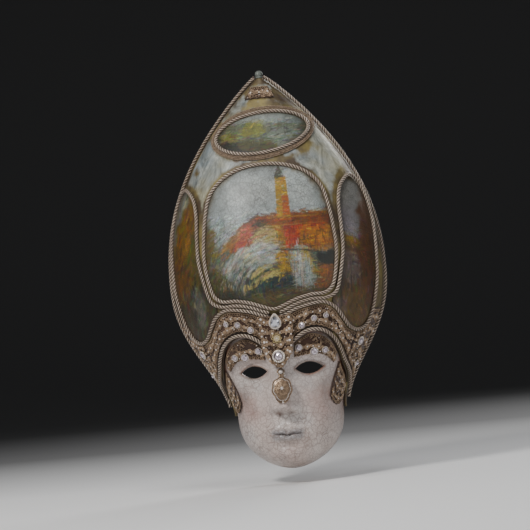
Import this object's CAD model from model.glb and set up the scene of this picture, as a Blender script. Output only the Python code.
"""Looks of a full-face masquerade mask: shells, painted panels, twisted cords, lace, jewels and back fittings.

Lengths are in millimetres until a mesh is made, which is when they become metres.
phi is an angle in degrees round from the front of the mask, and z a height above the eyes.
"""

import math

import bpy
import numpy as np
from mathutils import Matrix, Vector
from mathutils.kdtree import KDTree


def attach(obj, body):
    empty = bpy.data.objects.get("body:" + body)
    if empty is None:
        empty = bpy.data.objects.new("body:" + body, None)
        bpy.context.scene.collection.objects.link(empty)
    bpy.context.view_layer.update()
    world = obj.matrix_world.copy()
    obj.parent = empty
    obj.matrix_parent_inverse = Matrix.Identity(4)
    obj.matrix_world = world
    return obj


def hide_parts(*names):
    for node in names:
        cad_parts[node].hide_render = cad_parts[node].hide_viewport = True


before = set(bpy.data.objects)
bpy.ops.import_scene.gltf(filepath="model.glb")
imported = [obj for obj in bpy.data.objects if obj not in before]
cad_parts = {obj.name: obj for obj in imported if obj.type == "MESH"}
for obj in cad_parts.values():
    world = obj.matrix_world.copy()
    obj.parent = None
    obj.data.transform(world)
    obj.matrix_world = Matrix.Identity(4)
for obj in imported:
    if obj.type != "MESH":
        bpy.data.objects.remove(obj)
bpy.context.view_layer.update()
MM = 0.001
BODY = "mask"

# ---------------------------------------------------------------- the CAD's own sizes and surfaces

CROWN_W, CROWN_D, TIP_Z, TIP_D = 243, 100, 341, 10
CHEEK_W, WING_D, CHIN_DROP = 130, 80, 115
CROWN_T, FACE_T, SEAT_GAP, GLUE = 2.8, 2.6, 1.2, 0.4
EYE_W, EYE_H, EYE_PITCH, NOSE_RISE = 31, 13.5, 63, 19
CORD_D, PANEL_T, LACE_T = 4.2, 1.0, 1.6
WIDEST_Z, DEEPEST_Z, WING_Z, FOREHEAD_Z = 110, 100, -50, 60
CAP_Z = TIP_Z - 5
SECTION = 2.2
CORD_R = CORD_D / 2
CORD_UP = GLUE + CORD_R
FACE_IN = CROWN_T + SEAT_GAP
PITCH = CORD_D + 0.8
OVER_CORDS = CORD_D + 2 * GLUE
CENTRE_UP = OVER_CORDS + LACE_T + GLUE
CROWN_UP = 2 * GLUE + LACE_T
BROW_UP = 0.7


def crown_half(z):
    z = np.asarray(z, float)
    above = np.clip((z - WIDEST_Z) / (TIP_Z - WIDEST_Z), 0, 1)
    below = np.clip((WIDEST_Z - z) / (WIDEST_Z - WING_Z), 0, 1)
    low = CROWN_W / 2 - (CROWN_W - CHEEK_W) / 4 * (1 - np.cos(np.pi * below ** 1.25))
    return np.where(z > WIDEST_Z, CROWN_W / 2 * (1 - above ** 2.15), low)


def crown_depth(z):
    z = np.asarray(z, float)
    above = np.clip((z - DEEPEST_Z) / (TIP_Z - DEEPEST_Z), 0, 1)
    below = np.clip((DEEPEST_Z - z) / (DEEPEST_Z - WING_Z), 0, None)
    return np.where(z > DEEPEST_Z, TIP_D + (CROWN_D - TIP_D) * (1 - above ** 1.9),
                    CROWN_D - (CROWN_D - WING_D) * below ** 1.5)


def face_half(z):
    jaw = np.clip((WING_Z - np.asarray(z, float)) / (WING_Z + CHIN_DROP), 0, 1)
    return np.where(jaw > 0, (CHEEK_W / 2 - FACE_IN) * (1 - jaw ** 2.4) ** 0.6, crown_half(z) - FACE_IN)


def face_depth(z):
    jaw = np.clip((WING_Z - np.asarray(z, float)) / (WING_Z + CHIN_DROP), 0, 1)
    return np.where(jaw > 0, (WING_D - FACE_IN) * (1 - jaw ** 5) ** 0.5, crown_depth(z) - FACE_IN)


def level(half, depth, phi, z):
    """Points of level sections that are half wide and depth deep."""
    a = np.radians(np.asarray(phi, float))
    x = half * np.sign(a) * np.abs(np.sin(a)) ** (2 / SECTION)
    y = -depth * np.clip(np.cos(a), 0, 1) ** (2 / SECTION)
    return np.stack(np.broadcast_arrays(x, y, np.asarray(z, float)), -1)


def bell(x, z, cx, cz, sx, sz):
    return np.exp(-((x - cx) / sx) ** 2 - ((z - cz) / sz) ** 2)


def eased(t):
    t = np.clip(t, 0, 1)
    return t * t * (3 - 2 * t)


def relief(x, z):
    """The CAD's features of the face: nose, eye sockets, cheeks, mouth and chin."""
    a = np.abs(x)
    run = np.clip((14 - z) / 54, 0, 1)
    nose = NOSE_RISE * run ** 1.15 * (1 - eased((-41 - z) / 10)) * np.exp(-(x / (6.5 + 5 * run)) ** 2)
    return (nose - 6.5 * bell(a, z, EYE_PITCH / 2, 0, 19, 11) + 2.5 * bell(a, z, 38, -36, 22, 18)
            + 5 * bell(a, z, 0, -69, 17, 7) + 4 * bell(a, z, 0, -97, 16, 10))


def almond_edge(x, w=EYE_W, h=EYE_H):
    """Half the height of an eye opening at x from its centre; negative outside."""
    r = (w * w + h * h) / (4 * h)
    return np.sqrt(np.clip(r * r - x * x, 0, None)) - (r - h / 2)


def features(x, z):
    """Finer modelling that the CAD leaves out: lids, nostrils, lips, philtrum and the crease over the chin."""
    a = np.abs(x)
    ex = a - EYE_PITCH / 2
    out = np.abs(z) - np.where(np.abs(ex) < EYE_W / 2 + 3, almond_edge(ex), -3)
    fade_out = EYE_W / 2 + 4 - np.abs(ex)
    lid = 1.5 * np.exp(-((out - 1.6) / 1.7) ** 2) * (fade_out > 0) * eased(fade_out / 4)
    crease = -1.0 * np.exp(-((z - 9.5 + ex * ex / 45) / 1.3) ** 2) * eased((19 - np.abs(ex)) / 6)
    wing = 3.8 * bell(a, z, 11.5, -41.5, 4.2, 5.0) - 1.0 * bell(a, z, 17.5, -41, 2.4, 6)
    nostril = -2.6 * bell(a, z, 6.6, -48.2, 2.8, 1.7)
    philtrum = -0.9 * np.exp(-(x / 2.2) ** 2) * eased((z + 66) / 6) * eased((-50 - z) / 5)
    half = 21.0
    fade = eased((half - a) / 8)
    mouth = -72.4 + 0.006 * x * x - 0.9 * np.exp(-(x / 3.5) ** 2) + 0.7 * np.exp(-((a - 7) / 4) ** 2)
    bow = mouth + 4.4 - 0.008 * x * x - 1.1 * np.exp(-(x / 2.4) ** 2)
    upper = 3.0 * np.exp(-((z - bow + 1.2) / 2.5) ** 2) * fade
    lower = 3.9 * np.exp(-((z - mouth + 4.6) / 3.3) ** 2) * eased((18 - a) / 10)
    line = -2.6 * np.exp(-((z - mouth) / 1.0) ** 2) * fade - 1.2 * bell(a, z, 20.5, -70.4, 2.4, 2.4)
    crease_chin = -1.6 * bell(a, z, 0, -85.5, 13, 3)
    ball = 1.6 * bell(a, z, 0, -98, 12, 8)
    return lid + crease + wing + nostril + philtrum + upper + lower + line + crease_chin + ball


def crown_at(phi, z, inset=0.0):
    return level(crown_half(z) - inset, crown_depth(z) - inset, phi, z)


def face_at(phi, z, inset=0.0, fine=0.0):
    p = level(face_half(z) - inset, face_depth(z) - inset, phi, z)
    p[..., 1] -= relief(p[..., 0], p[..., 2])
    if fine:
        p[..., 1] -= fine * features(p[..., 0], p[..., 2])
    return p


def in_face(phi, z):
    return face_at(phi, z, FACE_T)


def face_phi(x, z):
    share = np.clip(np.abs(x) / face_half(z), 0, 1)
    return np.sign(x) * np.degrees(np.arcsin(share ** (SECTION / 2)))


def unit(v):
    return v / np.maximum(np.linalg.norm(v, axis=-1, keepdims=True), 1e-12)


STEP = 0.5


def slopes(at, phi, z):
    phi, z = np.broadcast_arrays(np.asarray(phi, float), np.asarray(z, float))
    return ((at(phi + STEP, z) - at(phi - STEP, z)) / (2 * STEP),
            (at(phi, z + STEP) - at(phi, z - STEP)) / (2 * STEP))


def raised(at, phi, z, up):
    """Points that stand up above a surface. up may vary from point to point."""
    du, dv = slopes(at, phi, z)
    return at(phi, z) + np.asarray(up, float)[..., None] * unit(np.cross(du, dv))


# ---------------------------------------------------------------- the CAD's own lines

def through(points, n=8, closed=False):
    """A smooth curve through points, n steps a span."""
    p = np.asarray(points, float)
    m = len(p)
    spans = m if closed else m - 1
    take = (lambda i: p[i % m]) if closed else (lambda i: p[min(max(i, 0), m - 1)])
    out = []
    for i in range(spans):
        a, b, c, d = take(i - 1), take(i), take(i + 1), take(i + 2)
        for k in range(n):
            t = k / n
            out.append(0.5 * (2 * b + (c - a) * t + (2 * a - 5 * b + 4 * c - d) * t * t
                              + (3 * b - a - 3 * c + d) * t ** 3))
    if not closed:
        out.append(p[-1])
    return np.array(out)


def lookup(points):
    """A function that reads a smooth curve's second value at its first."""
    c = through(points, 12)
    order = np.argsort(c[:, 0])
    return lambda x: np.interp(x, c[order, 0], c[order, 1])


def fit(points):
    """From millimetres across and up to degrees and heights on the headdress."""
    p = np.asarray(points, float)
    share = p[:, 0] / crown_half(p[:, 1])
    phi = np.sign(share) * np.degrees(np.arcsin(np.clip(np.abs(share), 0, 1) ** (SECTION / 2)))
    return np.stack([phi, p[:, 1]], -1)


def mirrored(points):
    return [[-x, z] for x, z in points]


EDGE_HEIGHTS = [[0, 18], [6, 25], [12, 35], [19, 41], [28, 37], [36, 28], [42.5, 18], [55, 0], [66, -10],
                [78, -25], [90, WING_Z]]
_edge = lookup(EDGE_HEIGHTS)


def edge_z(phi):
    """The lower edge of the headdress."""
    return _edge(np.abs(phi))


FRONT_HALF = [[0, 69], [12, 72.5], [26, 78], [42, 81.5], [56, 82], [65, 88], [69.5, 100], [72.5, 118],
              [73.5, 135], [72, 155], [68.5, 180], [62, 202], [48, 218], [28, 228]]
FRONT = FRONT_HALF + [[0, 232]] + mirrored(FRONT_HALF[:0:-1])
SIDE_TOP = [[80.5, 130], [80.5, 155], [79.5, 182], [83, 202], [92, 213], [101, 204], [108, 186], [113, 160]]
SIDE_OUTER = [[114.5, 130], [113.5, 100], [109.5, 76], [103, 55], [95.5, 42.5], [86.5, 38.5]]
SIDE_LOW = [[79, 43], [73.5, 53], [66, 65.5]]
LOW_MIDDLE = [[x, z - 2 * PITCH] for x, z in [[55, 82], [42, 81.5], [26, 78], [13, 72.5], [6, 70]]]
SIDE = ([[x, z - PITCH] for x, z in [[6, 70], [13, 72.5], [26, 78], [42, 81.5], [57.5, 81.5]]]
        + [[69, 85 - PITCH / 2], [74.5, 98], [78, 114]] + SIDE_TOP + SIDE_OUTER + SIDE_LOW + LOW_MIDDLE)
SIDE_PANEL = ([[64.5, 78], [69, 82.5], [75.5, 98], [78.6, 114]] + SIDE_TOP + SIDE_OUTER + SIDE_LOW
              + [[63, 70.5]])
MEDALLION, MEDALLION_SIZE, MEDALLION_TILT = (0, 269), (52, 24), 5
BRAID_W = 4.5


def medallion_ring(grow=0.0, n=72):
    a = np.linspace(0, 2 * np.pi, n, endpoint=False)
    u, v = (MEDALLION_SIZE[0] + grow) * np.cos(a), (MEDALLION_SIZE[1] + grow) * np.sin(a)
    t = math.radians(MEDALLION_TILT)
    return np.stack([MEDALLION[0] + u * math.cos(t) - v * math.sin(t),
                     MEDALLION[1] + u * math.sin(t) + v * math.cos(t)], -1)


BROW = [[phi, float(edge_z(phi)) + CORD_R + 0.6] for phi in np.arange(5, 81.1, 9.5)]
EDGE = [[86, float(edge_z(86)) + CORD_R + 1], [86, 0], [86, 50], [86, 110], [86, 170], [86, 230], [85, 280],
        [82, 310], [73, 326], [56, 333], [32, 335.5]]
LINES = {
    "cord_panel_front": (through(fit(FRONT), 8, True), True),
    "cord_panel_right": (through(fit(SIDE), 8), False),
    "cord_medallion_top": (fit(medallion_ring()), True),
    "edge_cord_right": (through(EDGE, 12), False),
    "brow_cord_right": (through(BROW, 8), False),
}
for right in [n for n in LINES if n.endswith("right")]:
    line, closed = LINES[right]
    LINES[right.replace("right", "left")] = (line * [-1, 1], closed)

# ---------------------------------------------------------------- meshes

class Shape:
    """Gathers points and faces, each face with a material number, and makes one object of them."""

    def __init__(self):
        self.points, self.faces, self.mats, self.smooth, self.tone, self.count = [], [], [], [], [], 0

    def add(self, points, faces, mat=0, smooth=True, tone=0.5):
        points = np.asarray(points, float).reshape(-1, 3)
        self.points.append(points)
        self.faces += [tuple(int(i) + self.count for i in f) for f in faces]
        self.mats += [mat] * len(faces)
        self.smooth += [smooth] * len(faces)
        self.tone.append(np.broadcast_to(np.asarray(tone, float), len(points)))
        self.count += len(points)

    def make(self, name, materials, slot, replaces=(), body=BODY, **attributes):
        mesh = bpy.data.meshes.new(name)
        points = np.concatenate(self.points) * MM
        mesh.from_pydata(points.tolist(), [], self.faces)
        for m in materials:
            mesh.materials.append(m)
        mesh.polygons.foreach_set("material_index", self.mats)
        mesh.polygons.foreach_set("use_smooth", self.smooth)
        attributes = dict(attributes, tone=np.concatenate(self.tone))
        for key, value in attributes.items():
            value = np.asarray(value, np.float32)
            kind = "FLOAT_COLOR" if value.ndim == 2 else "FLOAT"
            attribute = mesh.attributes.new(key, kind, "POINT")
            if value.ndim == 2:
                attribute.data.foreach_set("color", np.c_[value, np.ones(len(value))].astype(np.float32).ravel())
            else:
                attribute.data.foreach_set("value", value.ravel())
        mesh.update()
        obj = bpy.data.objects.new(name, mesh)
        bpy.context.scene.collection.objects.link(obj)
        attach(obj, body)
        if replaces:
            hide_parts(*([replaces] if isinstance(replaces, str) else replaces))
        return obj


def grid_faces(nu, nv, first=0, closed_v=False, flip=False):
    """Quads of an nu by nv grid of points, stored row by row."""
    i, j = np.meshgrid(np.arange(nu - 1), np.arange(nv if closed_v else nv - 1), indexing="ij")
    k = (j + 1) % nv
    quads = np.stack([i * nv + j, (i + 1) * nv + j, (i + 1) * nv + k, i * nv + k], -1).reshape(-1, 4) + first
    return quads[:, ::-1] if flip else quads


def slab(shape, over, under, mat=0, under_mat=None, tone=0.5, smooth=True):
    """A closed plate between two grids of points, over being the outside."""
    nu, nv = over.shape[:2]
    n = nu * nv
    shape.add(np.concatenate([over.reshape(-1, 3), under.reshape(-1, 3)]), [], tone=tone)
    base = shape.count - 2 * n

    def more(faces, m):
        shape.faces += [tuple(int(x) + base for x in f) for f in faces]
        shape.mats += [m] * len(faces)
        shape.smooth += [smooth] * len(faces)

    more(grid_faces(nu, nv), mat)
    more(grid_faces(nu, nv, n, flip=True), mat if under_mat is None else under_mat)
    ring = ([(0, j) for j in range(nv)] + [(i, nv - 1) for i in range(1, nu)]
            + [(nu - 1, j) for j in range(nv - 2, -1, -1)] + [(i, 0) for i in range(nu - 2, 0, -1)])
    ids = [i * nv + j for i, j in ring]
    after = ids[1:] + ids[:1]
    more([(a, b, b + n, a + n) for a, b in zip(ids, after)], mat)


def frames(path, closed=False, ups=None):
    """Tangent, normal and side at each point of a path, carried along with the least twist."""
    if closed:
        tangent = unit(np.roll(path, -1, 0) - np.roll(path, 1, 0))
    else:
        tangent = unit(np.gradient(path, axis=0))
    if ups is None:
        ups = np.empty_like(path)
        seed = np.array([0, -1.0, 0.2])
        for i, t in enumerate(tangent):
            seed = seed - t * seed.dot(t)
            seed /= max(np.linalg.norm(seed), 1e-9)
            ups[i] = seed
    side = unit(np.cross(tangent, ups))
    return tangent, np.cross(side, tangent), side


def wrap(n, sides, closed):
    """Faces round n rings of points, joined up in a loop or capped."""
    faces = grid_faces(n, sides, closed_v=True, flip=True).tolist()
    last = (n - 1) * sides
    if closed:
        return faces + [(last + (k + 1) % sides, (k + 1) % sides, k, last + k) for k in range(sides)]
    return faces + [tuple(range(sides))[::-1], tuple(range(last, last + sides))]


def tube(shape, path, r, mat=0, sides=6, closed=False, tone=0.5, ups=None):
    """A round tube along a path. r may be a number or one for each point."""
    path = np.asarray(path, float)
    _, normal, side = frames(path, closed, ups)
    a = np.linspace(0, 2 * np.pi, sides, endpoint=False)
    r = np.broadcast_to(np.asarray(r, float), len(path))[:, None, None]
    ring = normal[:, None] * np.cos(a)[:, None] + side[:, None] * np.sin(a)[:, None]
    points = path[:, None] + r * ring
    n = len(path)
    shape.add(points, wrap(n, sides, closed), mat, tone=np.repeat(np.broadcast_to(tone, n), sides))


def bead(shape, centre, r, mat=0, tone=0.5, rings=4, sides=7, squash=1.0, axis=(0, -1, 0)):
    """A small ball, flattened along its axis by squash."""
    axis = unit(np.asarray(axis, float))
    u = unit(np.cross(axis, [0.1, 0.2, 1.0]))
    v = np.cross(axis, u)
    points = [centre + axis * r * squash]
    for i in range(1, rings):
        t = math.pi * i / rings
        for k in range(sides):
            a = 2 * math.pi * (k + 0.5 * (i % 2)) / sides
            outward = math.sin(t) * (math.cos(a) * u + math.sin(a) * v)
            points.append(centre + r * (outward + squash * math.cos(t) * axis))
    points.append(centre - axis * r * squash)
    last = len(points) - 1
    faces = [(0, 1 + k, 1 + (k + 1) % sides) for k in range(sides)]
    for i in range(rings - 2):
        a, b = 1 + i * sides, 1 + (i + 1) * sides
        faces += [(a + k, b + k, b + (k + 1) % sides, a + (k + 1) % sides) for k in range(sides)]
    a = 1 + (rings - 2) * sides
    faces += [(a + (k + 1) % sides, a + k, last) for k in range(sides)]
    shape.add(points, faces, mat, tone=tone)


def evenly(path, gap, closed=False):
    """The path's points, moved to lie gap apart."""
    p = np.vstack([path, path[:1]]) if closed else path
    run = np.r_[0, np.cumsum(np.linalg.norm(np.diff(p, axis=0), axis=1))]
    n = max(3, int(round(run[-1] / gap)))
    s = np.linspace(0, run[-1], n + 1)
    out = np.stack([np.interp(s, run, p[:, k]) for k in range(p.shape[1])], -1)
    return (out[:-1] if closed else out), run[-1]


# ---------------------------------------------------------------- materials

class Paint:
    """A node material. node() adds a node and links or sets its inputs by name or number."""

    def __init__(self, name, **shader):
        self.material = bpy.data.materials.new(name)
        self.material.use_nodes = True
        self.tree = self.material.node_tree
        self.shader = self.tree.nodes["Principled BSDF"]
        self.set(self.shader, shader)

    def set(self, node, inputs):
        for key, value in inputs.items():
            socket = node.inputs[key if isinstance(key, int) else key.replace("_", " ")]
            if isinstance(value, bpy.types.NodeSocket):
                self.tree.links.new(value, socket)
            elif isinstance(value, (tuple, list)) and len(value) == 3 and socket.type == "RGBA":
                socket.default_value = (*value, 1)
            else:
                socket.default_value = value
        return node

    def node(self, kind, settings=None, **inputs):
        node = self.tree.nodes.new("ShaderNode" + kind)
        for key, value in (settings or {}).items():
            setattr(node, key, value)
        numbered = {int(k[1:]) if k[0] == "_" and k[1:].isdigit() else k: v for k, v in inputs.items()}
        return self.set(node, numbered)

    def attribute(self, name, out="Fac"):
        return self.node("Attribute", {"attribute_name": name}).outputs[out]

    def place(self, stretch=(1, 1, 1)):
        coords = self.node("TexCoord").outputs["Object"]
        return self.node("Mapping", Vector=coords, Scale=stretch).outputs["Vector"]

    def noise(self, scale, detail=4, rough=0.6, vector=None, distortion=0.0):
        return self.node("TexNoise", Vector=vector or self.place(), Scale=scale, Detail=detail,
                         Roughness=rough, Distortion=distortion).outputs["Fac"]

    def cracks(self, scale, wide=0.05, vector=None):
        """1 on the lines between Voronoi cells, 0 elsewhere."""
        base = vector or self.place()
        wobble = self.node("TexNoise", Vector=base, Scale=scale * 1.7, Detail=2).outputs["Color"]
        moved = self.node("VectorMath", {"operation": "MULTIPLY_ADD"}, _0=wobble, _1=(0.5 / scale,) * 3, _2=base)
        cell = self.node("TexVoronoi", {"feature": "DISTANCE_TO_EDGE"}, Vector=moved.outputs[0], Scale=scale)
        return self.ramp(cell.outputs["Distance"], (0, 1), (wide, 0))

    def ramp(self, value, *stops):
        node = self.node("ValToRGB", Fac=value)
        while len(node.color_ramp.elements) < len(stops):
            node.color_ramp.elements.new(0.5)
        for element, (at, colour) in zip(node.color_ramp.elements, stops):
            element.position = 0
        for element, (at, colour) in zip(node.color_ramp.elements, sorted(stops, key=lambda s: s[0])):
            element.position = at
            element.color = (*colour, 1) if isinstance(colour, tuple) else (colour, colour, colour, 1)
        return node.outputs["Color"]

    def math(self, operation, a, b=0.5, clamp=False):
        return self.node("Math", {"operation": operation, "use_clamp": clamp}, _0=a, _1=b).outputs[0]

    def mix(self, amount, a, b, blend="MIX"):
        node = self.node("Mix", {"data_type": "RGBA", "blend_type": blend}, _0=amount)
        self.set(node, {6: a, 7: b})
        return node.outputs[2]

    def bump(self, height, distance, strength=1.0, normal=None):
        node = self.node("Bump", Height=height, Distance=distance, Strength=strength)
        if normal is not None:
            self.tree.links.new(normal, node.inputs["Normal"])
        return node.outputs["Normal"]

    def finish(self, **shader):
        self.set(self.shader, shader)
        return self.material


def gesso():
    """Crackled off-white face, with blush, brown glaze and silvered lips from the mesh's attributes."""
    m = Paint("face_gesso", Specular_IOR_Level=0.45, Coat_Weight=0.25, Coat_Roughness=0.3)
    mottle = m.noise(30, 6, 0.65)
    base = m.ramp(mottle, (0.3, (0.44, 0.355, 0.32)), (0.5, (0.60, 0.51, 0.465)), (0.72, (0.74, 0.68, 0.63)))
    base = m.mix(m.ramp(m.noise(9, 3), (0.4, 0.0), (0.7, 0.35)), base, (0.50, 0.52, 0.54))
    base = m.mix(m.attribute("blush"), base, (0.50, 0.24, 0.20))
    base = m.mix(m.attribute("silver"), base, (0.30, 0.29, 0.30))
    fine, wide = m.cracks(280, 0.11), m.cracks(140, 0.085)
    lines = m.math("MAXIMUM", m.math("MULTIPLY", fine, 0.7), wide)
    patchy = m.ramp(m.noise(18, 3), (0.35, 0.35), (0.65, 0.85))
    base = m.mix(m.math("MULTIPLY", lines, patchy), base, (0.17, 0.11, 0.085))
    stain = m.mix(m.ramp(m.noise(70, 3), (0.4, 0.0), (0.6, 1.0)), (0.20, 0.075, 0.035), (0.10, 0.06, 0.04))
    base = m.mix(m.attribute("grime"), base, stain)
    rough = m.mix(m.attribute("silver"), m.ramp(mottle, (0.3, 0.5), (0.8, 0.34)), (0.22, 0.22, 0.22))
    height = m.math("SUBTRACT", m.math("MULTIPLY", mottle, 0.25), m.math("MULTIPLY", lines, 0.6))
    return m.finish(Base_Color=base, Roughness=rough, Normal=m.bump(height, 0.0004, 0.8))


def silver_paint():
    """Brushed silver-grey paint on papier-mache, with brown and olive patina where 'grime' is high."""
    m = Paint("crown_paint", Specular_IOR_Level=0.5, Metallic=0.25)
    streaks = m.noise(46, 7, 0.72, m.place((1.0, 1.0, 0.22)), 0.9)
    cloud = m.noise(10, 4, 0.6)
    light = m.ramp(streaks, (0.32, (0.06, 0.075, 0.085)), (0.44, (0.20, 0.235, 0.25)), (0.55, (0.33, 0.37, 0.385)),
                   (0.70, (0.64, 0.68, 0.68)))
    warm = m.ramp(streaks, (0.34, (0.10, 0.08, 0.04)), (0.5, (0.26, 0.235, 0.14)), (0.68, (0.56, 0.52, 0.34)))
    base = m.mix(m.ramp(cloud, (0.42, 0.0), (0.6, 0.8)), light, warm)
    ragged = m.math("MULTIPLY", m.math("SUBTRACT", m.noise(60, 5, 0.7), 0.5), 1.1)
    edge = m.math("ADD", m.attribute("grime"), ragged)
    olive = m.ramp(m.noise(34, 3), (0.38, (0.06, 0.036, 0.018)), (0.5, (0.13, 0.095, 0.035)),
                   (0.62, (0.22, 0.17, 0.05)))
    base = m.mix(m.ramp(edge, (0.12, 0.0), (0.52, 0.96)), base, olive)
    base = m.mix(m.ramp(m.attribute("dark"), (0.3, 0.0), (0.9, 0.92)), base, (0.035, 0.02, 0.012))
    rough = m.ramp(streaks, (0.3, 0.62), (0.8, 0.36))
    height = m.math("ADD", m.math("MULTIPLY", streaks, 0.6), m.math("MULTIPLY", m.noise(240, 3), 0.3))
    return m.finish(Base_Color=base, Roughness=rough, Normal=m.bump(height, 0.0006, 0.7))


def inside_paper():
    """Torn strips of brown paper, glued across one another and varnished."""
    m = Paint("inside_paper", Specular_IOR_Level=0.35)
    strip = m.node("TexVoronoi", {"feature": "F1"}, Vector=m.place((1.0, 1.0, 0.5)), Scale=34, Randomness=1.0)
    tint = m.node("SeparateColor", Color=strip.outputs["Color"]).outputs[0]
    fibre = m.noise(300, 5, 0.7, m.place((1, 1, 0.2)))
    base = m.ramp(tint, (0.1, (0.22, 0.14, 0.08)), (0.5, (0.34, 0.235, 0.14)), (0.9, (0.45, 0.34, 0.22)))
    base = m.mix(m.ramp(fibre, (0.4, 0.0), (0.8, 0.5)), base, (0.50, 0.40, 0.28))
    edges = m.cracks(34, 0.05, m.place((1.0, 1.0, 0.5)))
    base = m.mix(m.math("MULTIPLY", edges, 0.6), base, (0.12, 0.07, 0.04))
    height = m.math("ADD", m.math("MULTIPLY", tint, 0.8), m.math("MULTIPLY", fibre, 0.35))
    return m.finish(Base_Color=base, Roughness=0.7, Normal=m.bump(height, 0.0006, 0.8))


def oil_paint():
    """Oil paint from the mesh's own colours, under a crackled varnish."""
    m = Paint("oil_paint", Specular_IOR_Level=0.4, Coat_Weight=0.12, Coat_Roughness=0.3)
    base = m.attribute("paint", "Color")
    grain = m.noise(520, 4, 0.7, m.place((1, 1, 0.6)))
    base = m.mix(m.ramp(grain, (0.35, 0.22), (0.6, 0.0)), base, (0.045, 0.035, 0.02))
    fine, wide = m.cracks(260, 0.07), m.cracks(120, 0.035)
    lines = m.math("MAXIMUM", m.math("MULTIPLY", fine, 0.8), wide)
    amount = m.math("MULTIPLY", lines, m.math("MULTIPLY", m.attribute("crackle"), 0.9))
    base = m.mix(amount, base, (0.03, 0.026, 0.02))
    height = m.math("SUBTRACT", m.math("MULTIPLY", grain, 0.5), m.math("MULTIPLY", lines, 0.5))
    return m.finish(Base_Color=base, Roughness=0.48, Normal=m.bump(height, 0.0004, 0.6))


def cord_fibre():
    """Twisted beige and silver yarn, brown down in the lay. 'tone' is 0 in the recesses and 1 outside."""
    m = Paint("cord_yarn", Specular_IOR_Level=0.5, Sheen_Weight=0.25, Metallic=0.15)
    tone = m.math("ADD", m.attribute("tone"), m.math("MULTIPLY", m.math("SUBTRACT", m.noise(900, 3), 0.5), 0.3))
    base = m.ramp(tone, (0.25, (0.016, 0.008, 0.005)), (0.58, (0.075, 0.043, 0.027)), (0.86, (0.22, 0.155, 0.108)),
                  (1.0, (0.62, 0.53, 0.43)))
    stain = m.ramp(m.noise(16, 3), (0.42, 0.0), (0.7, 0.7))
    base = m.mix(stain, base, m.mix(0.6, base, (0.10, 0.055, 0.03)))
    return m.finish(Base_Color=base, Roughness=0.42, Normal=m.bump(m.noise(1500, 2), 0.0002, 0.5))


def metal(name, dark, light, rough, metallic=1.0, scale=160):
    """Old gilt or other metal, darker where it is rubbed and where 'tone' is low."""
    m = Paint(name, Metallic=metallic, Specular_IOR_Level=0.5)
    wear = m.noise(scale, 4, 0.7)
    amount = m.math("MULTIPLY", m.ramp(wear, (0.3, 0.25), (0.62, 1.0)),
                    m.ramp(m.attribute("tone"), (0.0, 0.35), (0.5, 1.0)))
    base = m.mix(amount, dark, light)
    roughness = m.ramp(wear, (0.3, min(1.0, rough + 0.2)), (0.7, rough))
    return m.finish(Base_Color=base, Roughness=roughness, Normal=m.bump(wear, 0.0002, 0.4))


def cloth(name, dark, light, scale=700, rough=0.85):
    m = Paint(name, Specular_IOR_Level=0.3, Sheen_Weight=0.3)
    weave = m.math("MULTIPLY",
                   m.node("TexWave", {"wave_type": "BANDS", "bands_direction": "X"}, Vector=m.place(), Scale=scale,
                          Distortion=1.5, Detail=1).outputs["Fac"],
                   m.node("TexWave", {"wave_type": "BANDS", "bands_direction": "Z"}, Vector=m.place(), Scale=scale,
                          Distortion=1.5, Detail=1).outputs["Fac"])
    mixed = m.math("ADD", m.math("MULTIPLY", weave, 0.5), m.math("MULTIPLY", m.noise(40, 4), 0.7))
    return m.finish(Base_Color=m.ramp(mixed, (0.25, dark), (0.75, light)), Roughness=rough,
                    Normal=m.bump(weave, 0.0003, 0.5))


def gem(name, colour, dark):
    """Foil-backed crystal: each facet takes its own brightness from 'tone'."""
    m = Paint(name, Metallic=0.55, Roughness=0.06, Specular_IOR_Level=0.9, Coat_Weight=1.0, Coat_Roughness=0.02,
              IOR=1.6)
    return m.finish(Base_Color=m.ramp(m.attribute("tone"), (0.1, dark), (0.9, colour)))


def grained_wood():
    m = Paint("pine", Specular_IOR_Level=0.3)
    rings = m.node("TexWave", {"wave_type": "BANDS", "bands_direction": "Z"}, Vector=m.place((0.15, 1, 1)),
                   Scale=90, Distortion=5, Detail=3, Detail_Scale=1.2).outputs["Fac"]
    pores = m.noise(500, 3, 0.7, m.place((0.06, 1, 1)))
    base = m.ramp(rings, (0.1, (0.36, 0.22, 0.11)), (0.8, (0.62, 0.45, 0.27)))
    base = m.mix(m.ramp(pores, (0.35, 0.6), (0.55, 0.0)), base, (0.25, 0.15, 0.08))
    return m.finish(Base_Color=base, Roughness=0.65, Normal=m.bump(pores, 0.0003, 0.5))


def hide():
    m = Paint("leather_brown", Specular_IOR_Level=0.4)
    cells = m.node("TexVoronoi", {"feature": "DISTANCE_TO_EDGE"}, Vector=m.place(), Scale=900).outputs["Distance"]
    base = m.ramp(m.noise(50, 4), (0.3, (0.12, 0.06, 0.03)), (0.7, (0.26, 0.145, 0.08)))
    return m.finish(Base_Color=base, Roughness=0.55, Normal=m.bump(cells, 0.0003, 0.5))


GESSO, CROWN_PAINT, INSIDE, OIL, YARN = gesso(), silver_paint(), inside_paper(), oil_paint(), cord_fibre()
BRAID = metal("braid_yarn", (0.035, 0.020, 0.012), (0.40, 0.29, 0.20), 0.5, 0.2, 400)
FILIGREE = metal("lace_thread", (0.05, 0.028, 0.018), (0.46, 0.33, 0.22), 0.28, 0.75, 90)
NET = cloth("lace_net", (0.016, 0.008, 0.006), (0.13, 0.065, 0.040), 900)
GILT = metal("old_gilt", (0.13, 0.09, 0.06), (0.66, 0.57, 0.44), 0.3, 0.8, 200)
LEAF = metal("gold_leaf", (0.16, 0.10, 0.04), (0.85, 0.70, 0.36), 0.28, 0.8, 140)
PEARL = metal("pearl_bead", (0.24, 0.18, 0.15), (0.80, 0.74, 0.70), 0.22, 0.3, 200)
CRYSTAL = gem("rhinestone", (0.92, 0.82, 0.90), (0.12, 0.08, 0.10))
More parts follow.
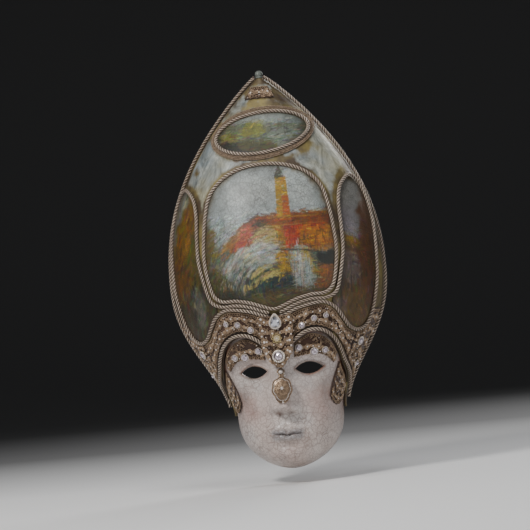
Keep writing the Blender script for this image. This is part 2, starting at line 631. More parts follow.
SMOKE = gem("smoky_crystal", (0.62, 0.62, 0.68), (0.012, 0.012, 0.015))
PEWTER = metal("pewter_paint", (0.03, 0.035, 0.03), (0.20, 0.22, 0.20), 0.5, 0.5, 120)
PINE, STEEL = grained_wood(), metal("dull_steel", (0.12, 0.115, 0.11), (0.52, 0.51, 0.48), 0.35, 1.0, 250)
BRASS, HIDE = metal("brass_wire", (0.20, 0.13, 0.05), (0.72, 0.54, 0.26), 0.28, 1.0, 200), hide()
FELT = cloth("dark_felt", (0.012, 0.011, 0.011), (0.05, 0.046, 0.045), 500, 0.95)

# ---------------------------------------------------------------- twisted cords

STRANDS, LAY, STRAND_R = 3, 12.0, 0.47


def rope(shape, path, ups, closed, radius=CORD_R, lay=LAY, strands=STRANDS, sides=10, mat=0):
    """Strands wound round a path. Each point's tone says how far out it stands."""
    tangent, normal, side = frames(path, closed, ups)
    run = np.r_[0, np.cumsum(np.linalg.norm(np.diff(path, axis=0), axis=1))]
    total = run[-1] + (np.linalg.norm(path[0] - path[-1]) if closed else 0)
    turns = max(1, round(total / lay)) / total
    r = radius * STRAND_R
    offset = radius - r
    a = np.linspace(0, 2 * np.pi, sides, endpoint=False)
    for s in range(strands):
        w = 2 * np.pi * (run * turns + s / strands)
        arm = normal * np.cos(w)[:, None] + side * np.sin(w)[:, None]
        along = unit(tangent + np.cross(tangent, arm) * (2 * np.pi * turns * offset))
        up = unit(arm - along * np.sum(arm * along, -1, keepdims=True))
        across = np.cross(along, up)
        centre = path + arm * offset
        ring = up[:, None] * np.cos(a)[:, None] + across[:, None] * np.sin(a)[:, None]
        points = centre[:, None] + r * ring
        reach = np.hypot(offset + r * np.cos(a), r * np.sin(a)) / radius
        tone = np.broadcast_to(np.clip((reach - 0.60) / 0.39, 0, 1) * (np.cos(a) > -0.6), points.shape[:2])
        shape.add(points, wrap(len(path), sides, closed), mat, tone=tone.ravel())


def evenly_on(line, up, gap, closed):
    dense = raised(crown_at, line[:, 0], line[:, 1], np.full(len(line), float(up)))
    p = np.vstack([dense, dense[:1]]) if closed else dense
    q = np.vstack([line, line[:1]]) if closed else line
    run = np.r_[0, np.cumsum(np.linalg.norm(np.diff(p, axis=0), axis=1))]
    n = max(3, int(round(run[-1] / gap)))
    s = np.linspace(0, run[-1], n + 1)
    q = np.stack([np.interp(s, run, q[:, k]) for k in range(2)], -1)
    q = q[:-1] if closed else q
    path = raised(crown_at, q[:, 0], q[:, 1], np.full(len(q), float(up)))
    ups = unit(raised(crown_at, q[:, 0], q[:, 1], np.full(len(q), up + 1.0)) - path)
    return path, ups


cord_paths = {}
for name, (line, closed) in LINES.items():
    path, ups = evenly_on(line, CORD_UP, 0.9, closed)
    cord_paths[name] = path
    shape = Shape()
    rope(shape, path, ups, closed)
    shape.make(name, [YARN], "cord", name)

# Thin brown cords and a thread lie side by side round the medallion.
shape = Shape()
for k, r in enumerate((0.85, 0.95, 0.8)):
    path, ups = evenly_on(fit(medallion_ring(CORD_R + 0.8 + 1.75 * k)), GLUE + r, 0.8, True)
    rope(shape, path, ups, True, r, 4.2, 2, 5)
shape.make("braid_medallion_top", [BRAID], "braid", "braid_medallion_top")

# ---------------------------------------------------------------- noise on a plane


def cloud(x, z, size, seed, octaves=3):
    """Smooth random values from 0 to 1, whose lumps are about size across."""
    total, weight, share = 0.0, 0.0, 1.0
    for o in range(octaves):
        lattice = np.random.default_rng(seed + 101 * o).random((64, 64))
        u, v = np.asarray(x, float) / size + 17.3, np.asarray(z, float) / size + 9.1
        i, j = np.floor(u).astype(int), np.floor(v).astype(int)
        s, t = eased(u - i), eased(v - j)
        g = lambda a, b: lattice[a % 64, b % 64]
        total = total + share * ((g(i, j) * (1 - s) + g(i + 1, j) * s) * (1 - t)
                                 + (g(i, j + 1) * (1 - s) + g(i + 1, j + 1) * s) * t)
        weight += share
        share *= 0.5
        size /= 2.1
    return total / weight


def thick(shape, outer, inner, faces, mat, inner_mat):
    """A closed shell from one set of quads and two sets of points. Points that no quad uses are left out."""
    faces = np.asarray(faces)
    used, faces = np.unique(faces, return_inverse=True)
    faces = faces.reshape(-1, 4)
    n = len(used)
    a, b = faces.ravel(), np.roll(faces, -1, axis=1).ravel()
    rim = ~np.isin(a * n + b, b * n + a)
    a, b = a[rim], b[rim]
    shape.add(np.concatenate([outer[used], inner[used]]), faces.tolist(), mat)
    base = shape.count - 2 * n
    shape.faces += (np.concatenate([faces[:, ::-1] + n]) + base).tolist()
    shape.mats += [inner_mat] * len(faces)
    shape.smooth += [True] * len(faces)
    shape.faces += (np.stack([b, a, a + n, b + n], -1) + base).tolist()
    shape.mats += [mat] * len(a)
    shape.smooth += [True] * len(a)
    return used


# ---------------------------------------------------------------- face

ROWS, COLS = 340, 330
u, v = np.meshgrid(np.linspace(0, 1, ROWS), np.linspace(-1, 1, COLS), indexing="ij")
phi = 90 * np.sign(v) * np.abs(v) ** 1.25
low = -CHIN_DROP + 0.5
z = FOREHEAD_Z - (FOREHEAD_Z - low) * (1 - (1 - u) ** 1.15)
x = face_at(phi, z)[..., 0]
ex = x - np.sign(x) * EYE_PITCH / 2
inside = np.abs(z) < almond_edge(ex)
quads = grid_faces(ROWS, COLS)
hole = inside.ravel()[quads].any(axis=1)
# Points of the opening's edge move onto the almond, straight up or down, or sideways at its corners.
kept = quads[~hole]
edge = np.intersect1d(np.unique(kept), np.unique(quads[hole]))
flat_x, flat_z, flat_ex = x.ravel().copy(), z.ravel().copy(), ex.ravel()
lid = almond_edge(np.clip(flat_ex[edge], -EYE_W / 2, EYE_W / 2))
beyond = np.abs(flat_ex[edge]) > EYE_W / 2
flat_z[edge] = np.where(flat_z[edge] < 0, -1, 1) * lid
flat_x[edge] -= np.where(beyond, flat_ex[edge] - np.sign(flat_ex[edge]) * EYE_W / 2, 0)
flat_phi = phi.ravel().copy()
flat_phi[edge] = face_phi(flat_x[edge], flat_z[edge])
outer = face_at(flat_phi, flat_z, 0, 1.0)
lift = FACE_T * eased((-60 - flat_z) / 55)
inner = face_at(flat_phi, np.maximum(flat_z, low + 0.01) + lift, FACE_T)
inner[edge] = face_at(face_phi(flat_x[edge], flat_z[edge]), flat_z[edge], FACE_T)
last = slice((ROWS - 1) * COLS, ROWS * COLS)
inner[last, 1] *= 0.05
shape = Shape()
used = thick(shape, outer, inner, kept, 0, 1)
fx, fz, fphi = flat_x[used], flat_z[used], flat_phi[used]
a = np.abs(fx)
out = np.hypot(np.maximum(np.abs(a - EYE_PITCH / 2) - EYE_W / 2, 0),
               np.maximum(np.abs(fz) - np.maximum(almond_edge(a - EYE_PITCH / 2), 0), 0))
patch = cloud(fx, fz, 14, 3)
under_edge = np.exp(-np.maximum(edge_z(fphi) - fz, 0) / 4.0)
grime = (0.9 * under_edge + 0.75 * np.exp(-(out / 2.2) ** 2) + 0.5 * eased((np.abs(fphi) - 66) / 20)
         + 0.55 * bell(a, fz, 7, -48.5, 4, 2.2) + 0.3 * np.exp(-((fz + 72.4) / 1.0) ** 2) * (a < 21)
         + 0.35 * bell(a, fz, 46, -28, 12, 22) + 0.3 * eased((-100 - fz) / 14))
grime = np.clip(grime * (0.55 + 0.9 * patch), 0, 1)
blush = (0.65 * bell(a, fz, 40, -42, 17, 18) + 0.3 * bell(a, fz, 0, -36, 9, 9)
         + 0.35 * bell(a, fz, 0, -98, 16, 10) + 0.3 * bell(a, fz, 31, 14, 18, 8))
blush *= 0.45 + 0.35 * cloud(fx, fz, 20, 8)
lips = eased((20 - a) / 5) * np.exp(-((fz + 72.9 - 0.004 * a * a) / 6.4) ** 4)
silver = np.clip(0.85 * lips + 0.4 * eased((patch - 0.5) / 0.3) * 0.5, 0, 1)
twice = lambda value: np.concatenate([value, value])
shape.make("face_shell", [GESSO, INSIDE], "face", "face_shell", grime=twice(grime), blush=twice(np.clip(blush, 0, 1)),
           silver=twice(silver))

# ---------------------------------------------------------------- headdress

ROWS, COLS = 300, 300
ROOF = CROWN_T * 1.5


def crown_sheet(top, inset, fall):
    phi = np.linspace(-90, 90, COLS)[None]
    t = np.clip((np.arange(ROWS) - 1) / (ROWS - 2), 0, 1)[:, None]
    z = edge_z(phi) + (top - edge_z(phi)) * (1 - t) ** 1.15
    p = crown_at(np.broadcast_to(phi, z.shape), z, inset)
    p[0, :, 1] *= 0.05
    p[0, :, 2] += fall
    return p, np.broadcast_to(phi, z.shape), z


outer, phi, z = crown_sheet(CAP_Z, 0, -0.3)
inner, _, _ = crown_sheet(CAP_Z - ROOF, CROWN_T, 0.3)
# Hand-laid paper is never quite even: the outside sinks a little here and there, never outwards.
sink = 0.22 * cloud(outer[..., 0] + 400, z, 18, 21)[1:-1, 1:-1, None]
outer[1:-1, 1:-1] -= sink * unit(outer[1:-1, 1:-1] * [1, 1, 0])
shape = Shape()
used = thick(shape, outer.reshape(-1, 3), inner.reshape(-1, 3), grid_faces(ROWS, COLS), 0, 1)
tree = KDTree(sum(len(p) for p in cord_paths.values()))
count = 0
for path in cord_paths.values():
    for p in path:
        tree.insert(Vector(p), count)
        count += 1
tree.balance()
near = np.array([tree.find(Vector(p))[2] for p in outer.reshape(-1, 3)]) - CORD_R
px, pz, pphi = outer[..., 0].ravel(), z.ravel(), phi.ravel()
grime = 1.05 * np.exp(-np.maximum(near, 0) / 4.2) + 0.25 * eased((near < 9) * (9 - near) / 9)
grime += 0.5 * eased((-pz + 60) / 40) + 0.75 * eased((np.abs(pphi) - 66) / 12)
grime += 0.55 * eased((cloud(px, pz, 26, 31) - 0.5) / 0.2)
under_lace = np.maximum(eased((70 - pz) / 8) * (np.abs(px) < 62) * 0.9,
                        eased((edge_z(pphi) + 2 - pz) / 2) * (np.abs(pphi) < 76))
shape.make("headdress_shell", [CROWN_PAINT, INSIDE], "crown", "headdress_shell",
           grime=twice(np.clip(grime, 0, 1.2)), dark=twice(np.clip(under_lace, 0, 1)))

# ---------------------------------------------------------------- painted panels


class Canvas:
    """A painting in millimetres: soft masses first, then short strokes of oil paint over them."""

    def __init__(self, x0, x1, z0, z1, step, colour, seed):
        self.x0, self.z0, self.step = x0, z0, step
        self.x, self.z = np.meshgrid(np.arange(x0, x1, step), np.arange(z0, z1, step))
        self.seed = seed
        self.rgb = np.zeros(self.x.shape + (3,)) + colour
        self.rng = np.random.default_rng(seed)
        wx = (cloud(self.x, self.z, 9, seed + 1) - 0.5) * 11
        wz = (cloud(self.x, self.z, 9, seed + 2) - 0.5) * 11
        self.loose_x, self.loose_z = self.x + wx, self.z + wz

    def blend(self, mask, colour):
        mask = np.clip(mask, 0, 1)[..., None]
        self.rgb = self.rgb * (1 - mask) + np.asarray(colour) * mask

    def window(self, x0, x1, z0, z1):
        i0, i1 = int((z0 - self.z0) / self.step), int((z1 - self.z0) / self.step)
        j0, j1 = int((x0 - self.x0) / self.step), int((x1 - self.x0) / self.step)
        return slice(max(i0, 0), max(i1, 0)), slice(max(j0, 0), max(j1, 0))

    def mass(self, corners, colour, soft=2.0, strength=1.0, loose=True, rounded=True):
        """A patch inside a closed outline, with a soft edge."""
        c = through(corners, 4, True) if rounded else np.asarray(corners, float)
        w = self.window(c[:, 0].min() - 8, c[:, 0].max() + 8, c[:, 1].min() - 8, c[:, 1].max() + 8)
        x, z = (self.loose_x[w], self.loose_z[w]) if loose else (self.x[w], self.z[w])
        inside = np.zeros(x.shape, bool)
        nearest = np.full(x.shape, 1e9)
        for (ax, az), (bx, bz) in zip(c, np.roll(c, -1, 0)):
            inside ^= ((az > z) != (bz > z)) & (x < (bx - ax) * (z - az) / (bz - az + 1e-12) + ax)
            t = np.clip(((x - ax) * (bx - ax) + (z - az) * (bz - az)) / ((bx - ax) ** 2 + (bz - az) ** 2), 0, 1)
            nearest = np.minimum(nearest, np.hypot(x - ax - t * (bx - ax), z - az - t * (bz - az)))
        mask = (strength * eased(np.where(inside, nearest, -nearest) / soft + 0.5))[..., None]
        self.rgb[w] = self.rgb[w] * (1 - mask) + np.asarray(colour) * mask

    def glow(self, cx, cz, rx, rz, colour, strength=1.0):
        self.blend(strength * bell(self.loose_x, self.loose_z, cx, cz, rx, rz), colour)

    def stroke(self, ax, az, bx, bz, wide, colour, strength=0.85):
        m = wide + 1
        window = self.window(min(ax, bx) - m, max(ax, bx) + m, min(az, bz) - m, max(az, bz) + m)
        x, z = self.x[window], self.z[window]
        if not x.size:
            return
        length = math.hypot(bx - ax, bz - az) + 1e-9
        tx, tz = (bx - ax) / length, (bz - az) / length
        s = (x - ax) * tx + (z - az) * tz
        d = -(x - ax) * tz + (z - az) * tx
        taper = wide / 2 * np.clip(1.15 - 0.4 * s / length, 0.3, 1)
        bristle = 0.62 + 0.38 * np.sin(d * 5.5 + cloud(x, z, 3, self.seed + 5, 1) * 5)
        ends = eased((s + wide / 2) / 0.8) * eased((length + wide / 2 - s) / 1.2)
        mask = (eased((taper - np.abs(d)) / 0.5) * ends * bristle * strength)[..., None]
        self.rgb[window] = self.rgb[window] * (1 - mask) + np.asarray(colour) * mask

    def dabs(self, number, long, wide, lean=0.0, spread=0.5, jitter=0.06, box=None):
        """Strokes that pick up the colour under them, changed a little."""
        r = self.rng
        x0, x1, z0, z1 = box or (self.x.min(), self.x.max(), self.z.min(), self.z.max())
        for _ in range(number):
            cx, cz = r.uniform(x0, x1), r.uniform(z0, z1)
            i = min(self.z.shape[0] - 1, int((cz - self.z0) / self.step))
            j = min(self.x.shape[1] - 1, int((cx - self.x0) / self.step))
            tint = r.normal(0, jitter)
            colour = np.clip(self.rgb[i, j] * (1 + 2.2 * tint) + r.normal(0, jitter * 0.5, 3), 0.01, 1)
            a = lean + r.normal(0, spread)
            half = long * r.uniform(0.35, 0.8)
            self.stroke(cx - half * math.cos(a), cz - half * math.sin(a), cx + half * math.cos(a),
                        cz + half * math.sin(a), wide * r.uniform(0.6, 1.3), colour, r.uniform(0.35, 0.8))

    def arcs(self, number, cx, cz, radii, angles, long, wide, colours, strength=0.7):
        """Strokes that follow circles about a point."""
        r = self.rng
        for _ in range(number):
            a, radius = math.radians(r.uniform(*angles)), r.uniform(*radii)
            x, z = cx + 1.15 * radius * math.cos(a), cz + radius * math.sin(a)
            half, lean = long * r.uniform(0.3, 0.7), a - math.pi / 2 + r.normal(0, 0.14)
            dx, dz = half * math.cos(lean), half * math.sin(lean)
            self.stroke(x - dx, z - dz, x + dx, z + dz, wide * r.uniform(0.5, 1.4),
                        colours[int(r.integers(len(colours)))], strength * r.uniform(0.5, 1))

    def brushed(self, number, long, wide, flow, box, jitter=0.08, wander=0.25):
        """Strokes along a flow, each with the colour that lay a little way off, so that the masses break up."""
        r, before = self.rng, self.rgb.copy()
        x0, x1, z0, z1 = box
        for _ in range(number):
            cx, cz = r.uniform(x0, x1), r.uniform(z0, z1)
            a = flow(cx, cz) + r.normal(0, wander)
            dx, dz = math.cos(a), math.sin(a)
            off = r.normal(0, 4.0)
            i = min(max(int((cz + off * dz + r.normal(0, 2.2) - self.z0) / self.step), 0), self.z.shape[0] - 1)
            j = min(max(int((cx + off * dx + r.normal(0, 2.2) - self.x0) / self.step), 0), self.x.shape[1] - 1)
            tint = 1 + 2.4 * r.normal(0, jitter)
            colour = np.clip(before[i, j] * tint + r.normal(0, jitter * 0.35, 3), 0.008, 1)
            half = long * r.uniform(0.3, 0.75)
            self.stroke(cx - half * dx, cz - half * dz, cx + half * dx, cz + half * dz, wide * r.uniform(0.5, 1.3),
                        colour, r.uniform(0.45, 0.9))

    def at(self, x, z):
        i = np.clip((z - self.z0) / self.step, 0, self.z.shape[0] - 1.01)
        j = np.clip((x - self.x0) / self.step, 0, self.x.shape[1] - 1.01)
        i0, j0 = i.astype(int), j.astype(int)
        s, t = (i - i0)[..., None], (j - j0)[..., None]
        c = self.rgb
        below = c[i0, j0] * (1 - t) + c[i0, j0 + 1] * t
        above = c[i0 + 1, j0] * (1 - t) + c[i0 + 1, j0 + 1] * t
        return below * (1 - s) + above * s


SKY, MIST, TEAL = (0.50, 0.55, 0.55), (0.66, 0.68, 0.65), (0.035, 0.085, 0.085)


LAGOON = (8, 92)  # the waterfront and the ripples bend round this point


def around_lagoon(x, z):
    """The way the brush goes: round the lagoon at the left, level at the right."""
    dx, dz = (x - LAGOON[0]) / 1.15, z - LAGOON[1]
    return 0.0 if dx > 0 else math.atan2(dz, dx) - math.pi / 2


def paint_front():
    """A bell tower and a sunlit waterfront that bends round a lagoon."""
    c = Canvas(-78, 78, 64, 236, 0.32, SKY, 40)
    r = c.rng
    pick = lambda colours: colours[int(r.integers(len(colours)))]
    c.glow(-8, 202, 52, 24, MIST, 0.7)
    c.glow(46, 196, 20, 18, MIST, 0.5)
    c.mass([[-84, 240], [-80, 178], [-65, 186], [-52, 212], [-28, 229], [-10, 244]], (0.30, 0.24, 0.12), 9, 0.8)
    c.mass([[84, 244], [80, 150], [70, 160], [64, 194], [46, 218], [16, 231], [16, 244]], (0.34, 0.25, 0.11), 10, 0.85)
    c.mass([[-80, 176], [-66, 168], [-56, 140], [-58, 98], [-84, 60]], (0.26, 0.21, 0.06), 7, 0.95)
    c.dabs(500, 3.0, 1.6, 0.3, 0.8, 0.035, (-75, 75, 178, 234))
    # the waterfront: straight at the right, bending down round the lagoon at the left
    c.mass([[76, 172], [28, 174], [-4, 173], [-24, 166], [-42, 152], [-55, 134], [-62, 118], [-48, 116], [-24, 130],
            [16, 132], [76, 128]], (0.44, 0.24, 0.075), 3)
    c.mass([[-30, 163], [-4, 172], [30, 174], [76, 172], [76, 163], [26, 162], [-4, 162], [-26, 153]],
           (0.36, 0.13, 0.05), 2.5, 0.85)
    c.mass([[38, 158], [72, 158], [72, 140], [40, 138]], (0.60, 0.31, 0.06), 3, 0.95)
    c.mass([[38, 163], [72, 164], [72, 157], [38, 156]], (0.50, 0.13, 0.05), 2, 0.85)
    c.mass([[19, 162], [34, 162], [34, 135], [19, 136]], (0.56, 0.13, 0.08), 2.5, 0.9)
    c.mass([[6, 156], [18, 156], [18, 133], [8, 134]], (0.52, 0.34, 0.08), 3, 0.9)
    c.mass([[-36, 150], [-20, 163], [-14, 158], [-16, 146], [-36, 138]], (0.56, 0.16, 0.12), 2.5, 0.9)
    c.mass([[-16, 165], [-4, 167], [-4, 158], [-15, 155]], (0.12, 0.12, 0.08), 2.5, 0.9)
    c.mass([[-15, 153], [6, 160], [6, 144], [-12, 141]], (0.62, 0.54, 0.30), 3, 0.9)
    # the lagoon
    c.mass([[-62, 128], [-34, 136], [0, 140], [14, 136], [40, 133], [76, 122], [76, 60], [-84, 60]],
           (0.20, 0.23, 0.19), 4)
    c.mass([[-50, 120], [-28, 140], [0, 146], [10, 142], [10, 122], [-22, 114], [-48, 108]], (0.56, 0.60, 0.56), 5, 0.9)
    c.mass([[25, 131], [44, 130], [46, 92], [24, 88]], (0.50, 0.54, 0.52), 5, 0.9)
    c.mass([[52, 112], [74, 112], [70, 82], [50, 84]], (0.46, 0.21, 0.05), 5, 0.9)
    c.mass([[-44, 116], [-30, 122], [-22, 112], [-40, 98]], (0.10, 0.16, 0.15), 4, 0.85)
    c.mass([[-26, 104], [0, 112], [22, 110], [23, 84], [-22, 84]], TEAL, 5, 0.95)
    c.mass([[-66, 116], [-50, 108], [-42, 86], [-68, 76]], (0.17, 0.15, 0.04), 5, 0.95)
    c.mass([[-60, 94], [-34, 92], [-20, 80], [-30, 72], [-66, 72]], (0.055, 0.06, 0.03), 4, 0.9)
    c.mass([[-20, 88], [62, 88], [62, 74], [-20, 68]], (0.20, 0.16, 0.05), 4, 0.85)
    water = [(0.78, 0.79, 0.72), (0.64, 0.69, 0.67), (0.44, 0.54, 0.56), (0.12, 0.20, 0.20), (0.62, 0.38, 0.28),
             (0.64, 0.55, 0.26), (0.74, 0.62, 0.52)]
    c.arcs(420, *LAGOON, (34, 58), (98, 176), 6, 1.5, water, 0.85)
    c.arcs(110, *LAGOON, (56, 72), (96, 160), 5, 1.4,
           [(0.60, 0.30, 0.22), (0.62, 0.48, 0.22), (0.46, 0.16, 0.10), (0.70, 0.60, 0.40), (0.26, 0.20, 0.10)], 0.75)
    c.mass([[-30, 96], [-8, 106], [8, 113], [10, 108], [-6, 100], [-26, 92]], (0.72, 0.62, 0.28), 2, 0.9)
    c.mass([[-20, 110], [-2, 118], [2, 115], [-16, 106]], (0.70, 0.60, 0.30), 2, 0.8)
    c.mass([[9, 131], [23, 131], [22, 108], [11, 107]], (0.56, 0.39, 0.08), 2.5, 0.95)
    c.mass([[38, 128], [45, 128], [51, 104], [45, 104]], (0.60, 0.48, 0.13), 2.5, 0.85)
    # the paint is laid in short strokes everywhere
    c.brushed(1900, 6.5, 2.4, around_lagoon, (-74, 74, 66, 178), 0.16)
    c.brushed(500, 5.0, 1.8, lambda x, z: math.pi / 2, (8, 74, 84, 166), 0.16)
    c.brushed(1200, 3.6, 1.4, around_lagoon, (-74, 74, 66, 178), 0.2)
    c.stroke(9, 134, 44, 131, 2.4, (0.05, 0.08, 0.08), 0.85)
    c.stroke(40, 131, 74, 124, 2.8, (0.045, 0.06, 0.055), 0.85)
    c.mass([[54, 128], [76, 124], [76, 113], [58, 117]], (0.035, 0.05, 0.045), 3, 0.9)
    for _ in range(70):
        x = r.uniform(4, 72)
        c.stroke(x - 6, 170 + r.normal(0, 1.2), x + 6, 170 + r.normal(0, 1.2), 1.3,
                 pick([(0.50, 0.28, 0.09), (0.24, 0.12, 0.05), (0.62, 0.40, 0.12)]), 0.6)
        z = r.uniform(159, 167)
        c.stroke(x - 5, z, x + 5, z + r.normal(0, 0.6), 1.4,
                 pick([(0.34, 0.17, 0.07), (0.55, 0.16, 0.06), (0.22, 0.17, 0.08)]), 0.5)
    c.stroke(-14, 155, 8, 161, 1.6, (0.62, 0.55, 0.26), 0.8)
    c.stroke(8, 161, 72, 161, 1.5, (0.60, 0.44, 0.16), 0.75)
    for k, x in enumerate((-22, 13, 24, 30, 40, 47, 54, 61, 68)):
        c.stroke(x, 142 + k % 3, x + 0.3, 148 + 2 * (k % 4), 1.2, (0.08, 0.045, 0.03), 0.6)
    for _ in range(60):
        x = 24 + r.uniform(0, 22)
        c.stroke(x, r.uniform(112, 129), x + r.normal(0, 1.5), r.uniform(84, 106), r.uniform(0.7, 1.6),
                 pick([(0.76, 0.78, 0.74), (0.18, 0.25, 0.25), (0.60, 0.42, 0.32), (0.50, 0.58, 0.60)]), 0.6)
    for _ in range(150):
        x, z = r.uniform(-30, 66), r.uniform(74, 104)
        c.stroke(x - 3, z - 0.9, x + r.uniform(1, 5), z + 0.8, r.uniform(0.5, 1.3),
                 pick([(0.60, 0.64, 0.60), (0.10, 0.16, 0.15), (0.46, 0.34, 0.12), (0.03, 0.05, 0.045)]), 0.45)
    # the tower, lit from the left
    c.mass([[12.5, 170], [27.5, 170], [24.5, 217], [12.5, 217]], (0.56, 0.40, 0.09), 1.6, 1.0, False, False)
    c.mass([[19, 172], [27, 172], [26, 194], [19, 194]], (0.60, 0.19, 0.06), 2.5, 0.9, False, False)
    c.mass([[11.5, 215], [24, 215], [17, 230]], (0.15, 0.15, 0.11), 1.6, 0.9, False, False)
    c.brushed(170, 3.0, 1.6, lambda x, z: 0.1, (12, 27, 168, 226), 0.2)
    for k in range(60):
        z, x = r.uniform(172, 215), r.uniform(14, 22)
        c.stroke(x, z, x + r.uniform(2, 5), z + r.normal(0, 0.4), r.uniform(0.7, 1.4),
                 pick([(0.64, 0.47, 0.12), (0.60, 0.20, 0.06), (0.36, 0.26, 0.08), (0.70, 0.54, 0.20)]), 0.55)
    return c


def paint_side(side):
    """Left: an ochre bank over dark water. Right: roofs under a grey sky."""
    c = Canvas(58, 122, 34, 218, 0.32, (0.27, 0.21, 0.06), 50 + side)
    r = c.rng
    pick = lambda colours: colours[int(r.integers(len(colours)))]
    if side < 0:
        c.mass([[78, 222], [124, 222], [124, 128], [114, 140], [100, 182], [84, 204]], (0.36, 0.36, 0.33), 5)
        c.mass([[66, 200], [84, 206], [100, 180], [112, 142], [108, 120], [70, 128]], (0.34, 0.22, 0.05), 6)
        c.mass([[60, 140], [80, 160], [100, 128], [110, 96], [64, 92]], (0.22, 0.19, 0.04), 8)
        c.mass([[96, 138], [116, 130], [112, 84], [94, 80]], (0.30, 0.16, 0.045), 6, 0.8)
        c.mass([[66, 96], [90, 100], [112, 76], [96, 38], [58, 34]], (0.13, 0.10, 0.045), 7)
        c.mass([[82, 96], [92, 98], [88, 62], [76, 60]], (0.30, 0.30, 0.26), 5, 0.8)
        c.brushed(620, 8.0, 2.4, lambda x, z: 1.95, (60, 118, 84, 208), 0.17)
        c.brushed(330, 6.5, 2.2, lambda x, z: 1.65, (60, 114, 38, 100), 0.2)
        for _ in range(60):
            x, z = r.uniform(62, 112), r.uniform(84, 196)
            c.stroke(x, z, x - r.uniform(1, 4), z + r.uniform(4, 10), r.uniform(0.6, 1.4),
                     pick([(0.44, 0.34, 0.10), (0.07, 0.06, 0.03), (0.40, 0.19, 0.05)]), 0.5)
    else:
        c.mass([[60, 222], [124, 222], [124, 146], [90, 140], [60, 146]], (0.40, 0.40, 0.38), 6)
        c.glow(84, 158, 16, 18, (0.42, 0.38, 0.44), 0.7)
        c.mass([[60, 224], [124, 224], [124, 192], [96, 208], [74, 196], [60, 180]], (0.25, 0.19, 0.08), 6)
        c.mass([[60, 152], [84, 146], [118, 124], [118, 112], [60, 136]], (0.40, 0.27, 0.08), 3)
        c.mass([[60, 136], [118, 112], [112, 34], [58, 34]], (0.24, 0.16, 0.10), 5)
        c.mass([[76, 130], [100, 118], [96, 92], [76, 98]], (0.30, 0.24, 0.23), 4, 0.8)
        c.mass([[58, 84], [100, 84], [96, 38], [60, 50]], (0.27, 0.18, 0.055), 6)
        c.mass([[66, 74], [78, 76], [76, 56], [66, 54]], (0.24, 0.20, 0.20), 4, 0.7)
        c.mass([[104, 206], [124, 200], [124, 50], [100, 60]], (0.26, 0.12, 0.05), 5, 0.85)
        c.brushed(420, 6.0, 2.2, lambda x, z: 1.6, (60, 118, 40, 146), 0.2)
        c.brushed(220, 5.0, 2.0, lambda x, z: -0.35, (60, 118, 108, 160), 0.12)
        for _ in range(46):
            x, z = r.uniform(70, 104), r.uniform(86, 128)
            c.stroke(x, z, x + r.normal(0, 2.5), z + r.normal(0, 3.5), r.uniform(0.7, 1.6),
                     pick([(0.50, 0.45, 0.44), (0.07, 0.05, 0.045), (0.36, 0.22, 0.12), (0.44, 0.38, 0.40)]), 0.7)
        c.stroke(74, 66, 75, 86, 3.2, (0.05, 0.05, 0.035), 0.85)
        c.stroke(86, 80, 87, 98, 2.2, (0.05, 0.04, 0.035), 0.8)
        c.stroke(98, 92, 98, 108, 2.0, (0.06, 0.045, 0.035), 0.75)
    return c


def paint_medallion():
    """Gardens and a low town under a pale sky."""
    c = Canvas(-58, 58, 238, 300, 0.3, (0.40, 0.46, 0.44), 60)
    r = c.rng
    pick = lambda colours: colours[int(r.integers(len(colours)))]
    c.glow(0, 288, 44, 8, (0.54, 0.59, 0.57), 0.9)
    c.mass([[20, 304], [62, 304], [60, 270], [42, 283]], (0.34, 0.24, 0.10), 5, 0.85)
    c.mass([[-58, 304], [-58, 268], [-46, 282], [-20, 296]], (0.20, 0.16, 0.08), 5, 0.8)
    c.mass([[-56, 276], [-24, 282], [4, 280], [40, 278], [58, 272], [58, 240], [-60, 240]], (0.20, 0.22, 0.14), 5, 0.85)
    c.mass([[-20, 280], [2, 281], [0, 268], [-18, 266]], (0.34, 0.34, 0.07), 5, 0.85)
    c.mass([[-44, 270], [-26, 272], [-28, 260], [-44, 258]], (0.36, 0.35, 0.10), 4, 0.8)
    c.mass([[8, 272], [44, 274], [42, 254], [14, 252]], (0.36, 0.40, 0.35), 5, 0.8)
    c.mass([[-52, 262], [-20, 260], [10, 254], [10, 236], [-50, 238]], (0.035, 0.04, 0.033), 4, 0.95)
    c.mass([[-26, 260], [10, 259], [14, 250], [-20, 248]], (0.20, 0.20, 0.04), 4, 0.8)
    c.brushed(520, 5.0, 2.0, lambda x, z: 0.1, (-54, 54, 242, 284), 0.22)
    for _ in range(120):
        x, z = r.uniform(-50, 52), r.uniform(254, 282)
        c.stroke(x, z, x + r.normal(0, 0.7), z + r.uniform(2, 5), r.uniform(0.6, 1.3),
                 pick([(0.07, 0.08, 0.055), (0.40, 0.40, 0.16), (0.50, 0.52, 0.44), (0.12, 0.15, 0.12)]), 0.5)
    c.dabs(220, 3.0, 1.4, 0.1, 0.4, 0.05, (-52, 54, 280, 296))
    return c


